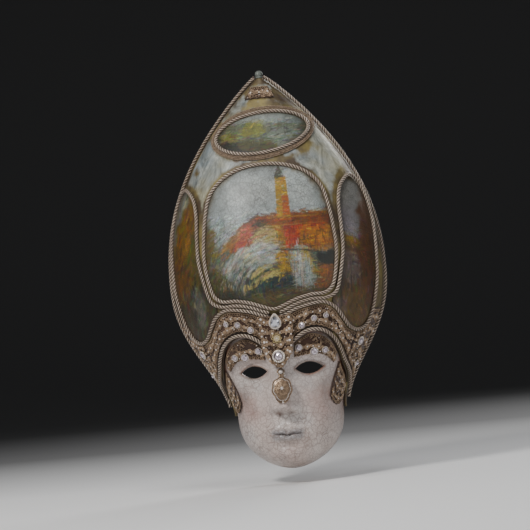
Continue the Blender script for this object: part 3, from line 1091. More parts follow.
def panel(name, outline, canvas, rows, cols, flip=1):
    """A painted plate inside a closed outline, which any level line crosses only twice."""
    dense = through(np.asarray(outline, float), 10, True) if len(outline) < 60 else np.asarray(outline, float)
    centre = dense.mean(0)
    ahead = unit(np.roll(dense, -1, 0) - np.roll(dense, 1, 0))
    normal = np.stack([-ahead[:, 1], ahead[:, 0]], -1)
    turn = np.sum(dense[:, 0] * np.roll(dense[:, 1], -1) - np.roll(dense[:, 0], -1) * dense[:, 1])
    # the plate stops just inside the cord; towards the sides, where the shell turns away, less shows across
    lean = np.sqrt(np.clip(1 - (np.abs(dense[:, 0]) / crown_half(dense[:, 1])) ** 2, 0.12, 1))
    grown = dense + (normal if turn > 0 else -normal) * (CORD_R - 0.15) * np.stack([lean, np.ones(len(lean))], -1)
    z0, z1 = grown[:, 1].min(), grown[:, 1].max()
    t = 0.5 - 0.5 * np.cos(np.linspace(0.012, 1 - 0.012, rows) * np.pi)
    levels = z1 + (z0 - z1) * t
    ends = []
    nxt = np.roll(grown, -1, 0)
    for level_z in levels:
        k = np.where((grown[:, 1] - level_z) * (nxt[:, 1] - level_z) <= 0)[0]
        dz = nxt[k, 1] - grown[k, 1]
        xs = grown[k, 0] + (nxt[k, 0] - grown[k, 0]) * np.where(np.abs(dz) < 1e-9, 0, (level_z - grown[k, 1]) / np.where(dz == 0, 1, dz))
        ends.append((xs.min(), xs.max()))
    ends = np.array(ends)
    s = np.linspace(0, 1, cols)
    x = ends[:, :1] + (ends[:, 1:] - ends[:, :1]) * s
    z = np.repeat(levels[:, None], cols, 1)
    if flip < 0:
        x = x[:, ::-1]
    colour = canvas.at(x, z)
    line = fit(np.stack([x.ravel() * flip, z.ravel()], -1))
    shape = Shape()
    over = raised(crown_at, line[:, 0], line[:, 1], np.full(len(line), GLUE + PANEL_T)).reshape(rows, cols, 3)
    under = raised(crown_at, line[:, 0], line[:, 1], np.full(len(line), GLUE)).reshape(rows, cols, 3)
    slab(shape, over, under)
    # brown glaze gathers along the frame
    edge = np.minimum(np.minimum(x - x.min(1, keepdims=True), x.max(1, keepdims=True) - x), 12)
    edge = np.minimum(edge, np.minimum(z1 - z, z - z0))
    glaze = np.exp(-edge / 5.0) * (0.5 + 0.6 * cloud(x, z, 9, 77))
    colour = colour * (1 - 0.75 * glaze[..., None]) + np.array([0.10, 0.065, 0.03]) * 0.75 * glaze[..., None]
    shade = 0.55 + 0.5 * cloud(x, z, 24, 78) + 0.4 * cloud(x, z, 6, 80)
    colour = np.clip(colour * shade[..., None], 0.002, 1) ** 1.45 * 0.66
    grey = colour.mean(-1, keepdims=True)
    colour = np.clip(grey + 1.1 * (colour - grey), 0.002, 1)
    crackle = np.clip(0.35 + 1.1 * (cloud(x, z, 16, 79) - 0.3), 0.1, 1)
    both = np.concatenate([colour.reshape(-1, 3)] * 2)
    shape.make(name, [OIL], "panel", name, paint=both, crackle=np.concatenate([crackle.ravel()] * 2))


panel("painted_panel_front", FRONT, paint_front(), 300, 270)
panel("painted_panel_right", SIDE_PANEL, paint_side(1), 300, 90)
panel("painted_panel_left", SIDE_PANEL, paint_side(-1), 300, 90, -1)
panel("painted_medallion_top", medallion_ring(), paint_medallion(), 110, 200)

# ---------------------------------------------------------------- lace


class Band:
    """A strip of a surface between two heights. s runs across in millimetres, t down from 0 to 1."""

    def __init__(self, at, start, stop, low, high, up, side=1):
        self.at, self.up, self.side = at, up, side
        self.phis = np.linspace(start, stop, 200)
        self.highs = np.broadcast_to(np.asarray(high(self.phis), float), self.phis.shape)
        self.lows = np.broadcast_to(np.asarray(low(self.phis), float), self.phis.shape)
        mid = at(self.phis, (self.highs + self.lows) / 2)
        self.run = np.r_[0, np.cumsum(np.linalg.norm(np.diff(mid, axis=0), axis=1))]
        self.long = self.run[-1]

    def height(self, s):
        phi = np.interp(s, self.run, self.phis)
        return np.interp(phi, self.phis, self.highs - self.lows)

    def put(self, s, t, up=0.0):
        """Points over the lace's top at s millimetres across and the share t of the way down."""
        s, t = np.broadcast_arrays(np.asarray(s, float), np.asarray(t, float))
        phi = np.interp(s, self.run, self.phis)
        z = np.interp(phi, self.phis, self.highs) * (1 - t) + np.interp(phi, self.phis, self.lows) * t
        p = raised(self.at, phi, z, np.full(s.shape, self.up) + up)
        return p * [self.side, 1, 1]

    def over(self, local, t, up=0.0):
        """Points given by their distance across the band, which may lie past its ends."""
        local = np.asarray(local, float)
        phi = self.phis[0] + (self.phis[-1] - self.phis[0]) * local[:, 0] / self.long
        z = np.interp(phi, self.phis, self.highs) * (1 - t) + np.interp(phi, self.phis, self.lows) * t + local[:, 1]
        return raised(self.at, phi, z, np.full(len(local), self.up + up)) * [self.side, 1, 1]

    def draw(self, cs, ct, local, up=0.0):
        """A motif's points (in millimetres) about a point of the band."""
        local = np.asarray(local, float)
        s = np.clip(cs + local[:, 0], 0, self.long)
        t = np.clip(ct - local[:, 1] / np.maximum(self.height(s), 1), 0.0, 1.0)
        return self.put(s, t, up)


def spiral(turns, r, start=0.0, hand=1, n=22):
    a = np.linspace(0, 2 * np.pi * turns, n)
    k = r * (1 - 0.82 * np.linspace(0, 1, n))
    return np.stack([k * np.cos(start + hand * a), k * np.sin(start + hand * a)], -1)


def loop(r, n=12, squash=1.0, lean=0.0):
    a = np.linspace(0, 2 * np.pi, n, endpoint=False)
    p = np.stack([r * np.cos(a), r * squash * np.sin(a)], -1)
    c, s = math.cos(lean), math.sin(lean)
    return p @ np.array([[c, s], [-s, c]])


def flower(shape, band, s, t, r, petals=6, turn=0.0):
    """Looped petals round a bead."""
    for k in range(petals):
        a = turn + 2 * math.pi * k / petals
        lean = np.array([math.cos(a), math.sin(a)]) * r * 0.62
        path = band.draw(s, t, loop(r * 0.42, 9, 0.62, a) + lean, 0.5)
        tube(shape, path, 0.56, 1, 5, True, 0.35 + 0.65 * ((k * 7) % 3) / 2)
    centre = band.draw(s, t, [[0, 0]], 0.5)[0]
    outward = unit(band.draw(s, t, [[0, 0]], 1.5)[0] - centre)
    bead(shape, centre, min(1.7, r * 0.36), 2, 0.9, 4, 8, 0.8, outward)


def edging(shape, band, t, scallop=0.0, reach=2.0, r=0.62):
    """A corded line across the band, with a row of small picot loops on one side."""
    s = np.arange(0.4, band.long - 0.4, 0.7)
    wave = t + scallop * np.abs(np.sin(np.pi * s / 6.0)) / np.maximum(band.height(s), 1)
    path = band.put(s, np.clip(wave, 0, 1), 0.3)
    ups = unit(band.put(s, np.clip(wave, 0, 1), 1.3) - path)
    if len(path) > 5:
        rope(shape, path, ups * 1.0, False, r, 2.6, 2, 5, 1)
    sign = 1 if t < 0.5 else -1
    for k, x in enumerate(np.arange(1.6, band.long - 1.4, 2.7)):
        level_t = float(np.interp(x, s, wave))
        local = loop(1.15, 8, 1.2) - [0, sign * reach * 0.75]
        tube(shape, band.draw(x, level_t, local, 0.2), 0.26, 1, 4, True, 0.3 + 0.6 * (k % 3) / 2)


def lace(name, band, flowers=8.5, seed=1, t_rows=(0.5,), trim=None):
    """Net with scrolls, flowers, corded edges and beads over it."""
    r = np.random.default_rng(seed)
    shape = Shape()
    nu, nv = 14, max(12, int(band.long / 1.4))
    s, t = np.meshgrid(np.linspace(0, band.long, nv), np.linspace(0, 1, nu))
    scallop = 0.05 * np.abs(np.sin(np.pi * s / 6.0)) * (t > 0.93)
    over = band.put(s, t - scallop, -0.7)
    under = band.put(s, t - scallop, -LACE_T + 0.05)
    if band.side < 0:
        over, under = over[:, ::-1], under[:, ::-1]
    slab(shape, over, under, 0)
    edging(shape, band, 0.02, 0, 2.0)
    edging(shape, band, 0.97, -1.2, 2.0)
    for row, t in enumerate(t_rows):
        count = max(1, int(round(band.long / flowers)))
        gap = band.long / count
        for k in range(count):
            x = gap * (k + 0.5)
            h = float(band.height(x))
            size = min(h / len(t_rows), gap) * 0.44
            if size < 1.6:
                continue
            if (k + row) % 2 == 0:
                flower(shape, band, x, t, size, 6 + (k % 3), r.uniform(0, 1))
            else:
                for hand in (1, -1):
                    local = spiral(1.35, size * 0.56, math.pi / 2 * (1 - hand), hand) + [hand * size * 0.55, 0]
                    path = band.draw(x, t, local, 0.3)
                    tube(shape, path, np.linspace(0.78, 0.45, len(path)), 1, 5, False, r.uniform(0.45, 1))
                centre = band.draw(x, t, [[0, 0]], 0.4)[0]
                bead(shape, centre, 0.95, 2, 0.7, 4, 7, 0.8, unit(band.draw(x, t, [[0, 0]], 1.4)[0] - centre))
            # stems that join each motif to the next
            if k < count - 1:
                m = np.linspace(0, 1, 12)
                local = np.stack([size * 0.9 + (gap - 1.8 * size) * m, size * 0.5 * np.sin(m * 2 * np.pi + k)], -1)
                tube(shape, band.draw(x, t, local, 0.25), 0.36, 1, 4, False, r.uniform(0.3, 0.9))
    filler = int(band.long * float(np.mean(band.height(np.linspace(0, band.long, 9)))) / 17)
    for _ in range(filler):
        x, t = r.uniform(1.5, band.long - 1.5), r.uniform(0.1, 0.9)
        kind = r.integers(4)
        if kind == 0:
            p = band.put(x, t, 0.15)
            bead(shape, p, r.uniform(0.5, 0.85), 2, r.uniform(0.3, 1), 3, 6, 0.9, unit(band.put(x, t, 1.0) - p))
        elif kind == 1:
            tube(shape, band.draw(x, t, loop(r.uniform(0.8, 1.5), 8), 0.1), 0.32, 1, 4, True, r.uniform(0.2, 1))
        else:
            local = spiral(0.9, r.uniform(1.0, 1.9), r.uniform(0, 6), 1 if kind == 2 else -1, 11)
            tube(shape, band.draw(x, t, local, 0.15), 0.38, 1, 4, False, r.uniform(0.2, 1))
    if trim:
        trim(shape, band)
    shape.make(name, [NET, FILIGREE, PEARL], "lace", name)


low_line = lookup(fit([SIDE_OUTER[-1]] + SIDE_LOW + LOW_MIDDLE)[::-1])
outer_line = lookup(fit(SIDE_OUTER[::-1]))
brow_height = lambda phi: edge_z(phi) + CORD_R + 0.6


def beside(line, phi):
    """How far the space beside a cord reaches straight up or down, where its line slopes."""
    a, b = crown_at(phi - 1, line(phi - 1)), crown_at(phi + 1, line(phi + 1))
    return (CORD_R + 0.9) * np.linalg.norm(b - a, axis=-1) / np.linalg.norm((b - a)[..., :2], axis=-1)


above_brow = lambda phi: brow_height(phi) + beside(brow_height, phi)
under_bundle = lambda phi: low_line(phi) - beside(low_line, phi)
under_panel = lambda phi: np.minimum(outer_line(phi) - beside(outer_line, phi), 60)
SPLIT = float(fit([SIDE_OUTER[-1]])[0, 0])
brow_low = lookup([[9, 13], [20, 15], [32, 13], [44, 3]])
LAPPET = (50, 76)
lappet_low = lambda phi: 11 * (2 * (phi - LAPPET[0]) / (LAPPET[1] - LAPPET[0]) - 1) ** 2 - 46
behind_edge = lambda phi: edge_z(phi) - 2.5



def centre_low(p):
    """The centre lace comes down to a blunt point between the eyes."""
    return 2 + 13 * (np.abs(p) / 6.4) ** 1.6


def centre_trim(shape, band):
    """Flowers and scrolls that reach over the seams on both sides."""
    r = np.random.default_rng(18)
    for edge_s, hand in ((0.0, -1), (band.long, 1)):
        for k, t in enumerate(np.linspace(0.06, 0.86, 7)):
            middle = edge_s + hand * (1.6 if k % 2 else -0.4)
            if k % 2:
                for way in (1, -1):
                    curl = spiral(1.4, 2.9, math.pi / 2 * (1 - hand), way) + [middle, way * 2.4]
                    tube(shape, band.over(curl, t, 0.5), np.linspace(0.7, 0.42, 22), 1, 5, False, r.uniform(0.5, 1))
                p = band.over([[middle, 0]], t, 0.9)[0]
                bead(shape, p, 1.15, 2, 0.8, 5, 9, 0.9)
            else:
                for petal in range(7):
                    a = 2 * math.pi * petal / 7
                    leaf = loop(1.7, 9, 0.62, a) + [middle + 2.5 * math.cos(a), 2.5 * math.sin(a)]
                    tube(shape, band.over(leaf, t, 0.5), 0.5, 1, 5, True, 0.4 + 0.6 * ((petal * 3) % 4) / 3)
                bead(shape, band.over([[middle, 0]], t, 1.0)[0], 1.5, 2, 0.9, 5, 9, 0.8)


for side, word in ((1, "right"), (-1, "left")):
    lace("crown_lace_" + word, Band(crown_at, 7, SPLIT - 0.3, above_brow, under_bundle, GLUE + LACE_T, side),
         flowers=8.0, seed=11, t_rows=(0.3, 0.72))
    lace("temple_lace_" + word, Band(crown_at, SPLIT + 0.3, 81.5, above_brow, under_panel, GLUE + LACE_T, side),
         flowers=9, seed=12, t_rows=(0.13, 0.31, 0.5, 0.69, 0.87))
    lace("brow_lace_" + word, Band(face_at, 9, 44, brow_low, behind_edge, BROW_UP + LACE_T, side),
         flowers=7.0, seed=13, t_rows=(0.6,))
    lace("cheek_lappet_" + word, Band(face_at, *LAPPET, lappet_low, behind_edge, BROW_UP + LACE_T, side),
         flowers=8.5, seed=14, t_rows=(0.2, 0.48, 0.78))
lace("centre_lace", Band(crown_at, -6.4, 6.4, centre_low, lambda p: 62 + 0 * p, OVER_CORDS + LACE_T),
     flowers=9, seed=15, t_rows=(0.12, 0.33, 0.55, 0.76, 0.92), trim=centre_trim)


class Flat:
    """A flat plate to draw motifs on: across and up in millimetres from its middle."""

    def __init__(self, origin, across, up, out):
        self.origin, self.across, self.upward, self.out = (np.asarray(v, float) for v in (origin, across, up, out))

    def draw(self, cs, ct, local, up=0.0):
        local = np.asarray(local, float)
        return (self.origin + (local[:, :1] + cs) * self.across + (local[:, 1:] + ct) * self.upward + up * self.out)


# The pendant lies along the bridge of the nose: a small round boss, a stem, and a scalloped leaf.
head = face_at(np.array(0.0), np.array(2.0)) - [0, 0.6, 0]
foot = face_at(np.array(0.0), np.array(-34.0)) - [0, 0.6, 0]
long = float(np.linalg.norm(head - foot))
up = (head - foot) / long
out = np.cross([1.0, 0, 0], up)
plate = Flat((head + foot) / 2, [1, 0, 0], up, out)
LEAF_Y, LEAF_R = -4.5, 12.6
shape = Shape()


def leaf_edge(n, scale=1.0):
    """Seven lobes, broad in the middle and drawn down to a point."""
    a = np.linspace(0, 2 * np.pi, n, endpoint=False)
    lobes = 1 + 0.10 * np.abs(np.cos(3.5 * (a - np.pi / 2))) - 0.05
    x = LEAF_R * 0.86 * np.cos(a) * lobes * scale
    y = LEAF_R * (np.sin(a) * lobes - 0.28 * np.maximum(-np.sin(a), 0) ** 3) * scale + LEAF_Y
    return np.stack([x, y], -1)


n = 84
dome = [(0.0, 2.6), (0.35, 2.3), (0.65, 1.7), (0.9, 1.1), (1.0, 0.7)]
rings = [plate.draw(0, 0, (leaf_edge(n, k) if k else np.tile([[0, LEAF_Y]], (n, 1))), h) for k, h in dome[::-1]]
rings = [plate.draw(0, 0, leaf_edge(n), 0.1)] + rings
shape.add(np.concatenate(rings), grid_faces(len(rings), n, closed_v=True, flip=True).tolist()
          + [tuple(range(n))[::-1]], 1, tone=0.25)
border, _ = evenly(leaf_edge(200), 0.8, True)
rim = plate.draw(0, 0, border, 1.0)
rope(shape, rim, np.broadcast_to(out, rim.shape), True, 0.85, 2.8, 2, 6, 1)
beads, _ = evenly(leaf_edge(200, 0.86), 1.75, True)
for k, p in enumerate(beads):
    bead(shape, plate.draw(0, 0, [p], 1.7)[0], 0.66, 2, 0.35 + 0.3 * (k % 3), 4, 7, 1, out)
for k in range(7):
    a = math.pi / 2 + 2 * math.pi * k / 7
    vein = np.array([[t * math.cos(a) * LEAF_R * 0.62, LEAF_Y + t * math.sin(a) * LEAF_R * 0.68] for t in np.linspace(0.2, 1, 9)])
    lift = 3.0 - 1.5 * np.linspace(0.2, 1, 9) ** 2
    tube(shape, np.array([plate.draw(0, 0, [p], h)[0] for p, h in zip(vein, lift)]), np.linspace(0.75, 0.4, 9), 1, 6,
         False, 0.9)
    for hand in (1, -1):
        mid = vein[6] + 1.9 * hand * np.array([-math.sin(a), math.cos(a)])
        curl = spiral(1.2, 1.7, a + math.pi, hand, 14) + mid
        tube(shape, plate.draw(0, 0, curl, 1.95), 0.4, 1, 5, False, 0.75)
bead(shape, plate.draw(0, LEAF_Y, [[0, 0]], 2.9)[0], 2.1, 2, 1.0, 6, 12, 0.7, out)
bead(shape, plate.draw(0, LEAF_Y - LEAF_R * 1.24, [[0, 0]], 1.1)[0], 1.3, 2, 0.9, 5, 9, 1, out)
# stem and boss
for hand in (1, -1):
    stem = np.array([[hand * (0.9 + 1.3 * math.sin(t * math.pi)), LEAF_Y + LEAF_R * 0.86 + 4.4 * t] for t in np.linspace(0, 1, 12)])
    tube(shape, plate.draw(0, 0, stem, 1.3), 0.7, 1, 6, False, 0.8)
    for k, y in enumerate((9.6, 12.6)):
        bead(shape, plate.draw(hand * (4.4 - 0.7 * k), y, [[0, 0]], 1.0)[0], 0.85, 2, 0.6, 4, 7, 1, out)
boss = plate.draw(0, 14.2, [[0, 0]], 0.9)[0]
for r, h, fat in ((3.9, 0.3, 0.85), (2.7, 1.0, 0.6)):
    circle, _ = evenly(loop(r, 60), 0.7, True)
    rim = plate.draw(0, 14.2, circle, 0.7 + h)
    rope(shape, rim, np.broadcast_to(out, rim.shape), True, fat, 2.6, 2, 6, 1)
bead(shape, boss + out * 0.9, 2.5, 2, 1.0, 6, 12, 0.7, out)
shape.make("nose_drop", [NET, FILIGREE, PEARL], "lace", "nose_drop")

# Scrollwork across the tip.
BRAID_TOP = medallion_ring()[:, 1].max() + CORD_R + GLUE + BRAID_W
SCROLL = [BRAID_TOP + share * (CAP_Z - BRAID_TOP) for share in (0.28, 0.67)]
band = Band(crown_at, -30, 30, lambda p: SCROLL[0] + 0 * p, lambda p: SCROLL[1] + 0 * p, GLUE + LACE_T)
lace("tip_scroll", band, flowers=8, seed=16, t_rows=(0.5,))

# ---------------------------------------------------------------- jewels


class Stand:
    """Axes on a surface: z out of it and y up it."""

    def __init__(self, at, phi, z, up, side=1):
        p0, p1 = raised(at, phi, z, float(up)), raised(at, phi, z, float(up) + 1)
        self.p = p0
        self.n = unit(p1 - p0)
        self.x = unit(np.cross([0, 0, 1.0], self.n))
        self.y = np.cross(self.n, self.x)
        self.side = side

    def put(self, local):
        local = np.atleast_2d(np.asarray(local, float))
        p = self.p + local[:, :1] * self.x + local[:, 1:2] * self.y + local[:, 2:] * self.n
        return p * [self.side, 1, 1]

    def out(self):
        return self.n * [self.side, 1, 1]


def oriented(shape, stand, points, faces, mat, smooth, tone=0.5):
    faces = [f[::-1] for f in faces] if stand.side < 0 else faces
    shape.add(stand.put(points), faces, mat, smooth, tone)


def turned(shape, stand, profile, sides, mat, smooth=True, tone=0.5):
    """A solid of revolution from (radius, height) pairs, listed from the bottom's middle to the top's."""
    points, faces = [(0, 0, profile[0][1])], []
    for r, h in profile[1:-1]:
        points += [(r * math.cos(2 * math.pi * k / sides), r * math.sin(2 * math.pi * k / sides), h) for k in range(sides)]
    points.append((0, 0, profile[-1][1]))
    rings = len(profile) - 2
    faces += [(0, 1 + (k + 1) % sides, 1 + k) for k in range(sides)]
    for i in range(rings - 1):
        a, b = 1 + i * sides, 1 + (i + 1) * sides
        faces += [(a + k, a + (k + 1) % sides, b + (k + 1) % sides, b + k) for k in range(sides)]
    a = 1 + (rings - 1) * sides
    faces += [(a + k, a + (k + 1) % sides, len(points) - 1) for k in range(sides)]
    oriented(shape, stand, points, faces, mat, smooth, tone)


def cut_stone(shape, stand, r, base, h, sides=8):
    """A faceted stone: table, crown facets and girdle, every facet with a brightness of its own."""
    table, mid = [], []
    for k in range(sides):
        a = 2 * math.pi * k / sides
        table.append((0.52 * r * math.cos(a), 0.52 * r * math.sin(a), base + h))
        b = a + math.pi / sides
        mid.append((0.86 * r * math.cos(b), 0.86 * r * math.sin(b), base + h * 0.62))
    girdle = [(r * math.cos(2 * math.pi * (k + 0.5) / (2 * sides)), r * math.sin(2 * math.pi * (k + 0.5) / (2 * sides)),
               base + h * 0.3) for k in range(2 * sides)]
    facets = [table]
    for k in range(sides):
        facets.append([table[k], mid[k], table[(k + 1) % sides]])
        facets.append([table[k], mid[k - 1], girdle[(2 * k - 1) % (2 * sides)], girdle[(2 * k) % (2 * sides)], mid[k]])
        facets.append([mid[k], girdle[(2 * k) % (2 * sides)], girdle[(2 * k + 1) % (2 * sides)]])
    under = [(0.7 * r * math.cos(2 * math.pi * (k + 0.5) / (2 * sides)),
              0.7 * r * math.sin(2 * math.pi * (k + 0.5) / (2 * sides)), base) for k in range(2 * sides)]
    m = 2 * sides
    facets += [[girdle[k], under[k], under[(k + 1) % m], girdle[(k + 1) % m]] for k in range(m)]
    facets.append(under[::-1])
    for k, f in enumerate(facets):
        f = np.asarray(f, float)
        normal = np.cross(f[1] - f[0], f[2] - f[0])
        inward = normal.dot(f.mean(0) - [0, 0, base + h * 0.3]) < 0
        ring = list(range(len(f)))
        oriented(shape, stand, f, [tuple(ring[::-1] if inward else ring)], 0, False, 0.3 + 0.7 * ((k * 37) % 11) / 10)


def pearls(shape, stand, path, r, mat=1):
    for k, p in enumerate(path):
        bead(shape, stand.put([p])[0], r, mat, 0.5 + 0.4 * (k % 2), 4, 8, 1.0, stand.out())


def ring_of(r, n, h, turn=0.0):
    return [(r * math.cos(2 * math.pi * k / n + turn), r * math.sin(2 * math.pi * k / n + turn), h) for k in range(n)]


def cup(shape, stand, r, h, rim, n=None):
    """A setting with a rolled rim and a ring of pearls."""
    turned(shape, stand, [(0, 0), (r - 0.1, 0), (r, h * 0.3), (r - 0.15, h * 0.55), (r - rim, h * 0.5),
                          (r - rim, h * 0.3), (0, h * 0.3)], 28, 0, tone=0.7)
    n = n or max(8, int(2 * math.pi * (r - rim * 0.45) / (rim * 0.86)))
    pearls(shape, stand, ring_of(r - rim * 0.5, n, h * 0.6), rim * 0.42)


DROP_W, ROUND_W, SET_H, CUP_H = 14.4, 15.0, 2.4, 1.8


def drop_path(w, n, h):
    """The outline of a teardrop with its point up."""
    a = np.linspace(-0.5 * np.pi, 1.5 * np.pi, 121)
    p = np.stack([w / 2 * np.cos(a), w / 2 * np.sin(a)], -1)
    tip = np.maximum(np.sin(a), 0) ** 2.2
    p[:, 1] += tip * (w * 0.78 - w / 2)
    p[:, 0] *= 1 - 0.35 * tip
    p, _ = evenly(p, 0.1, False)
    k = np.linspace(0, len(p), n, endpoint=False).astype(int)
    return [(x, y, h) for x, y in p[k]]


def plate_of(shape, stand, outline, low, high, mat, tone=0.5, smooth=False, top_scale=1.0):
    n = len(outline)
    bottom = [(x, y, low) for x, y, _ in outline]
    top = [(x * top_scale, y * top_scale, high) for x, y, _ in outline]
    faces = [tuple(range(n))[::-1], tuple(range(n, 2 * n))]
    faces += [(k, (k + 1) % n, n + (k + 1) % n, n + k) for k in range(n)]
    oriented(shape, stand, bottom + top, faces, mat, smooth, tone)


stand = Stand(crown_at, 0.0, 54.0, CENTRE_UP)
shape = Shape()
plate_of(shape, stand, drop_path(DROP_W, 60, 0), 0, 1.0, 0, 0.6)
pearls(shape, stand, drop_path(DROP_W - 2.0, 26, 1.5), 0.92)
shape.make("teardrop_setting", [GILT, PEARL], "setting", "teardrop_setting")
shape = Shape()
inner_drop = drop_path(DROP_W - 4.5, 14, 0)
plate_of(shape, stand, inner_drop, 1.25, 2.0, 0, 0.5)
rise = [(x * 0.55, y * 0.55, 3.5) for x, y, _ in inner_drop]
for k in range(14):
    a, b = inner_drop[k], inner_drop[(k + 1) % 14]
    quad = [(a[0], a[1], 2.0), (b[0], b[1], 2.0), rise[(k + 1) % 14], rise[k]]
    oriented(shape, stand, quad, [(0, 1, 2, 3)], 0, False, 0.2 + 0.8 * ((k * 5) % 7) / 6)
oriented(shape, stand, rise, [tuple(range(14))], 0, False, 0.75)
shape.make("teardrop_crystal", [SMOKE], "crystal", "teardrop_crystal")

stand = Stand(crown_at, 0.0, 37.0, CENTRE_UP)
shape = Shape()
for k in range(8):
    a = 2 * math.pi * k / 8
    c = np.array([3.9 * math.cos(a), 3.9 * math.sin(a), 0.6])
    petal = [c + [1.9 * math.cos(b) * math.cos(a) - 1.2 * math.sin(b) * math.sin(a),
                  1.9 * math.cos(b) * math.sin(a) + 1.2 * math.sin(b) * math.cos(a), 0.25] for b in np.linspace(0, 2 * np.pi, 12, endpoint=False)]
    tube(shape, stand.put(petal), 0.38, 0, 5, True, 0.4 + 0.5 * (k % 2))
turned(shape, stand, [(0, 0), (3.6, 0), (3.8, 0.8), (2.6, 1.3), (0, 1.4)], 24, 0, tone=0.5)
pearls(shape, stand, ring_of(2.6, 10, 1.3), 0.55)
bead(shape, stand.put([[0, 0, 1.6]])[0], 1.3, 1, 0.9, 6, 12, 0.8, stand.out())
shape.make("centre_rosette", [LEAF, PEARL], "lace", "centre_rosette")

stand = Stand(crown_at, 0.0, 17.0, CENTRE_UP)
shape = Shape()
cup(shape, stand, ROUND_W / 2, SET_H, 3, 16)
shape.make("forehead_setting", [GILT, PEARL], "setting", "forehead_setting")
shape = Shape()
cut_stone(shape, stand, ROUND_W / 2 - 3.25, SET_H * 0.35 + 0.25, SET_H, 8)
shape.make("forehead_crystal", [CRYSTAL], "crystal", "forehead_crystal")

CROWN_STONES = [(13, 48, 3.0), (20, 55, 2.7), (27, 57, 2.4)]
BIG_STONES = [(62, 26, 5.5), (72, 1, 4.0)]
BROW_STONES = [(22, 24, 3.4), (38, 18.5, 4.0), (49.5, 19, 3.2)]
small, big = [], []
for side in (1, -1):
    small += [(Stand(crown_at, float(p), float(z), CROWN_UP, side), r) for p, z, r in CROWN_STONES]
    small += [(Stand(face_at, float(face_phi(np.array(float(x)), np.array(float(z)))), float(z),
                     BROW_UP + LACE_T + GLUE, side), r) for x, z, r in BROW_STONES]
    big += [(Stand(crown_at, float(p), float(z), CROWN_UP, side), r) for p, z, r in BIG_STONES]
shape, gems = Shape(), Shape()
for stand, r in small:
    cup(shape, stand, r + 0.9, CUP_H, 1.0)
    cut_stone(gems, stand, r - 0.25, CUP_H * 0.35 + 0.2, CUP_H, 8)
shape.make("stone_cups", [GILT, PEARL], "setting", "stone_cups")
gems.make("stones", [CRYSTAL], "crystal", "stones")
shape, gems = Shape(), Shape()
for stand, r in big:
    cup(shape, stand, r, SET_H, r * 0.36)
    cut_stone(gems, stand, r * 0.64 - 0.25, SET_H * 0.35 + 0.25, SET_H, 8)
shape.make("temple_settings", [GILT, PEARL], "setting", "temple_settings")
gems.make("temple_crystals", [CRYSTAL], "crystal", "temple_crystals")

# ---------------------------------------------------------------- finial and back fittings

seat = np.array([0, -float(crown_depth(CAP_Z)) / 2, CAP_Z])


class Upright:
    side = 1

    def __init__(self, p):
        self.p = np.asarray(p, float)

    def put(self, local):
        return self.p + np.atleast_2d(np.asarray(local, float))


shape = Shape()
profile = [(0, 0.4), (4.6, 0.4), (4.6, 1.0), (4.1, 1.3), (4.0, 2.0), (3.4, 2.4), (3.0, 3.2)]
ball = [(4.4 * math.sin(a), 5.2 - 4.3 * math.cos(a)) for a in np.linspace(0.75, math.pi - 0.08, 14)]
turned(shape, Upright(seat), profile + ball + [(0, 9.5)], 32, 0, tone=0.6)
for h, r in ((1.15, 4.4), (2.3, 3.6)):
    circle = np.array([seat + [r * math.cos(a), r * math.sin(a), h] for a in np.linspace(0, 2 * np.pi, 60, endpoint=False)])
    rope(shape, circle, np.broadcast_to([0, 0, 1.0], circle.shape), True, 0.5, 2.4, 2, 5, 0)
for k in range(12):
    a = 2 * math.pi * k / 12
    arc = np.array([seat + [4.36 * math.sin(t) * math.cos(a), 4.36 * math.sin(t) * math.sin(a), 5.2 - 4.26 * math.cos(t)]
                    for t in np.linspace(0.9, 3.0, 14)])
    tube(shape, arc, 0.22, 0, 4, False, 0.9)
shape.make("tip_finial", [PEWTER], "braid", "tip_finial")


def cushion(name, start, stop, low, high, thick_mm, nu, nv):
    """A felt-covered pad with rounded edges on the inside of the face."""
    s = np.linspace(-1, 1, nv)
    t = np.linspace(-1, 1, nu)
    tt, ss = np.meshgrid(t, s, indexing="ij")
    phi = (start + stop) / 2 + (stop - start) / 2 * np.sign(ss) * np.abs(ss) ** 0.8
    zz = (low + high) / 2 - (high - low) / 2 * np.sign(tt) * np.abs(tt) ** 0.8
    crown = (1 - np.abs(ss) ** 7) * (1 - np.abs(tt) ** 5)
    depth = 0.5 + (thick_mm - 0.5) * np.clip(crown, 0, 1) ** 0.45
    glued = raised(in_face, phi, zz, np.full(phi.shape, -GLUE))
    facing = raised(in_face, phi, zz, -GLUE - depth)
    shape = Shape()
    slab(shape, glued, facing, 0)
    return shape.make(name, [FELT], "pad", name)


for name, args in {"forehead_pad": (-32, 32, 32, 54, 8, 30, 90), "cheek_pad_right": (38, 62, -42, -20, 8, 30, 34),
                   "cheek_pad_left": (-62, -38, -42, -20, 8, 30, 34)}.items():
    cushion(name, *args)

LOOKS = {"hanging_batten": PINE, "hanger_strap": STEEL, "hanger_screws": STEEL, "hanger_ring": BRASS,
         "tie_tab_left": HIDE, "tie_tab_right": HIDE, "tie_eyelet_left": BRASS, "tie_eyelet_right": BRASS}
for name, look in LOOKS.items():
    node = bpy.data.objects[name]
    node.data.materials.clear()
    node.data.materials.append(look)

# ---------------------------------------------------------------- floor, light and camera

FLOOR_Z, FRONT_Y, BACK_Y, CURVE, SIDE_X = -0.13, -6.0, 3.4, 1.1, 6.0


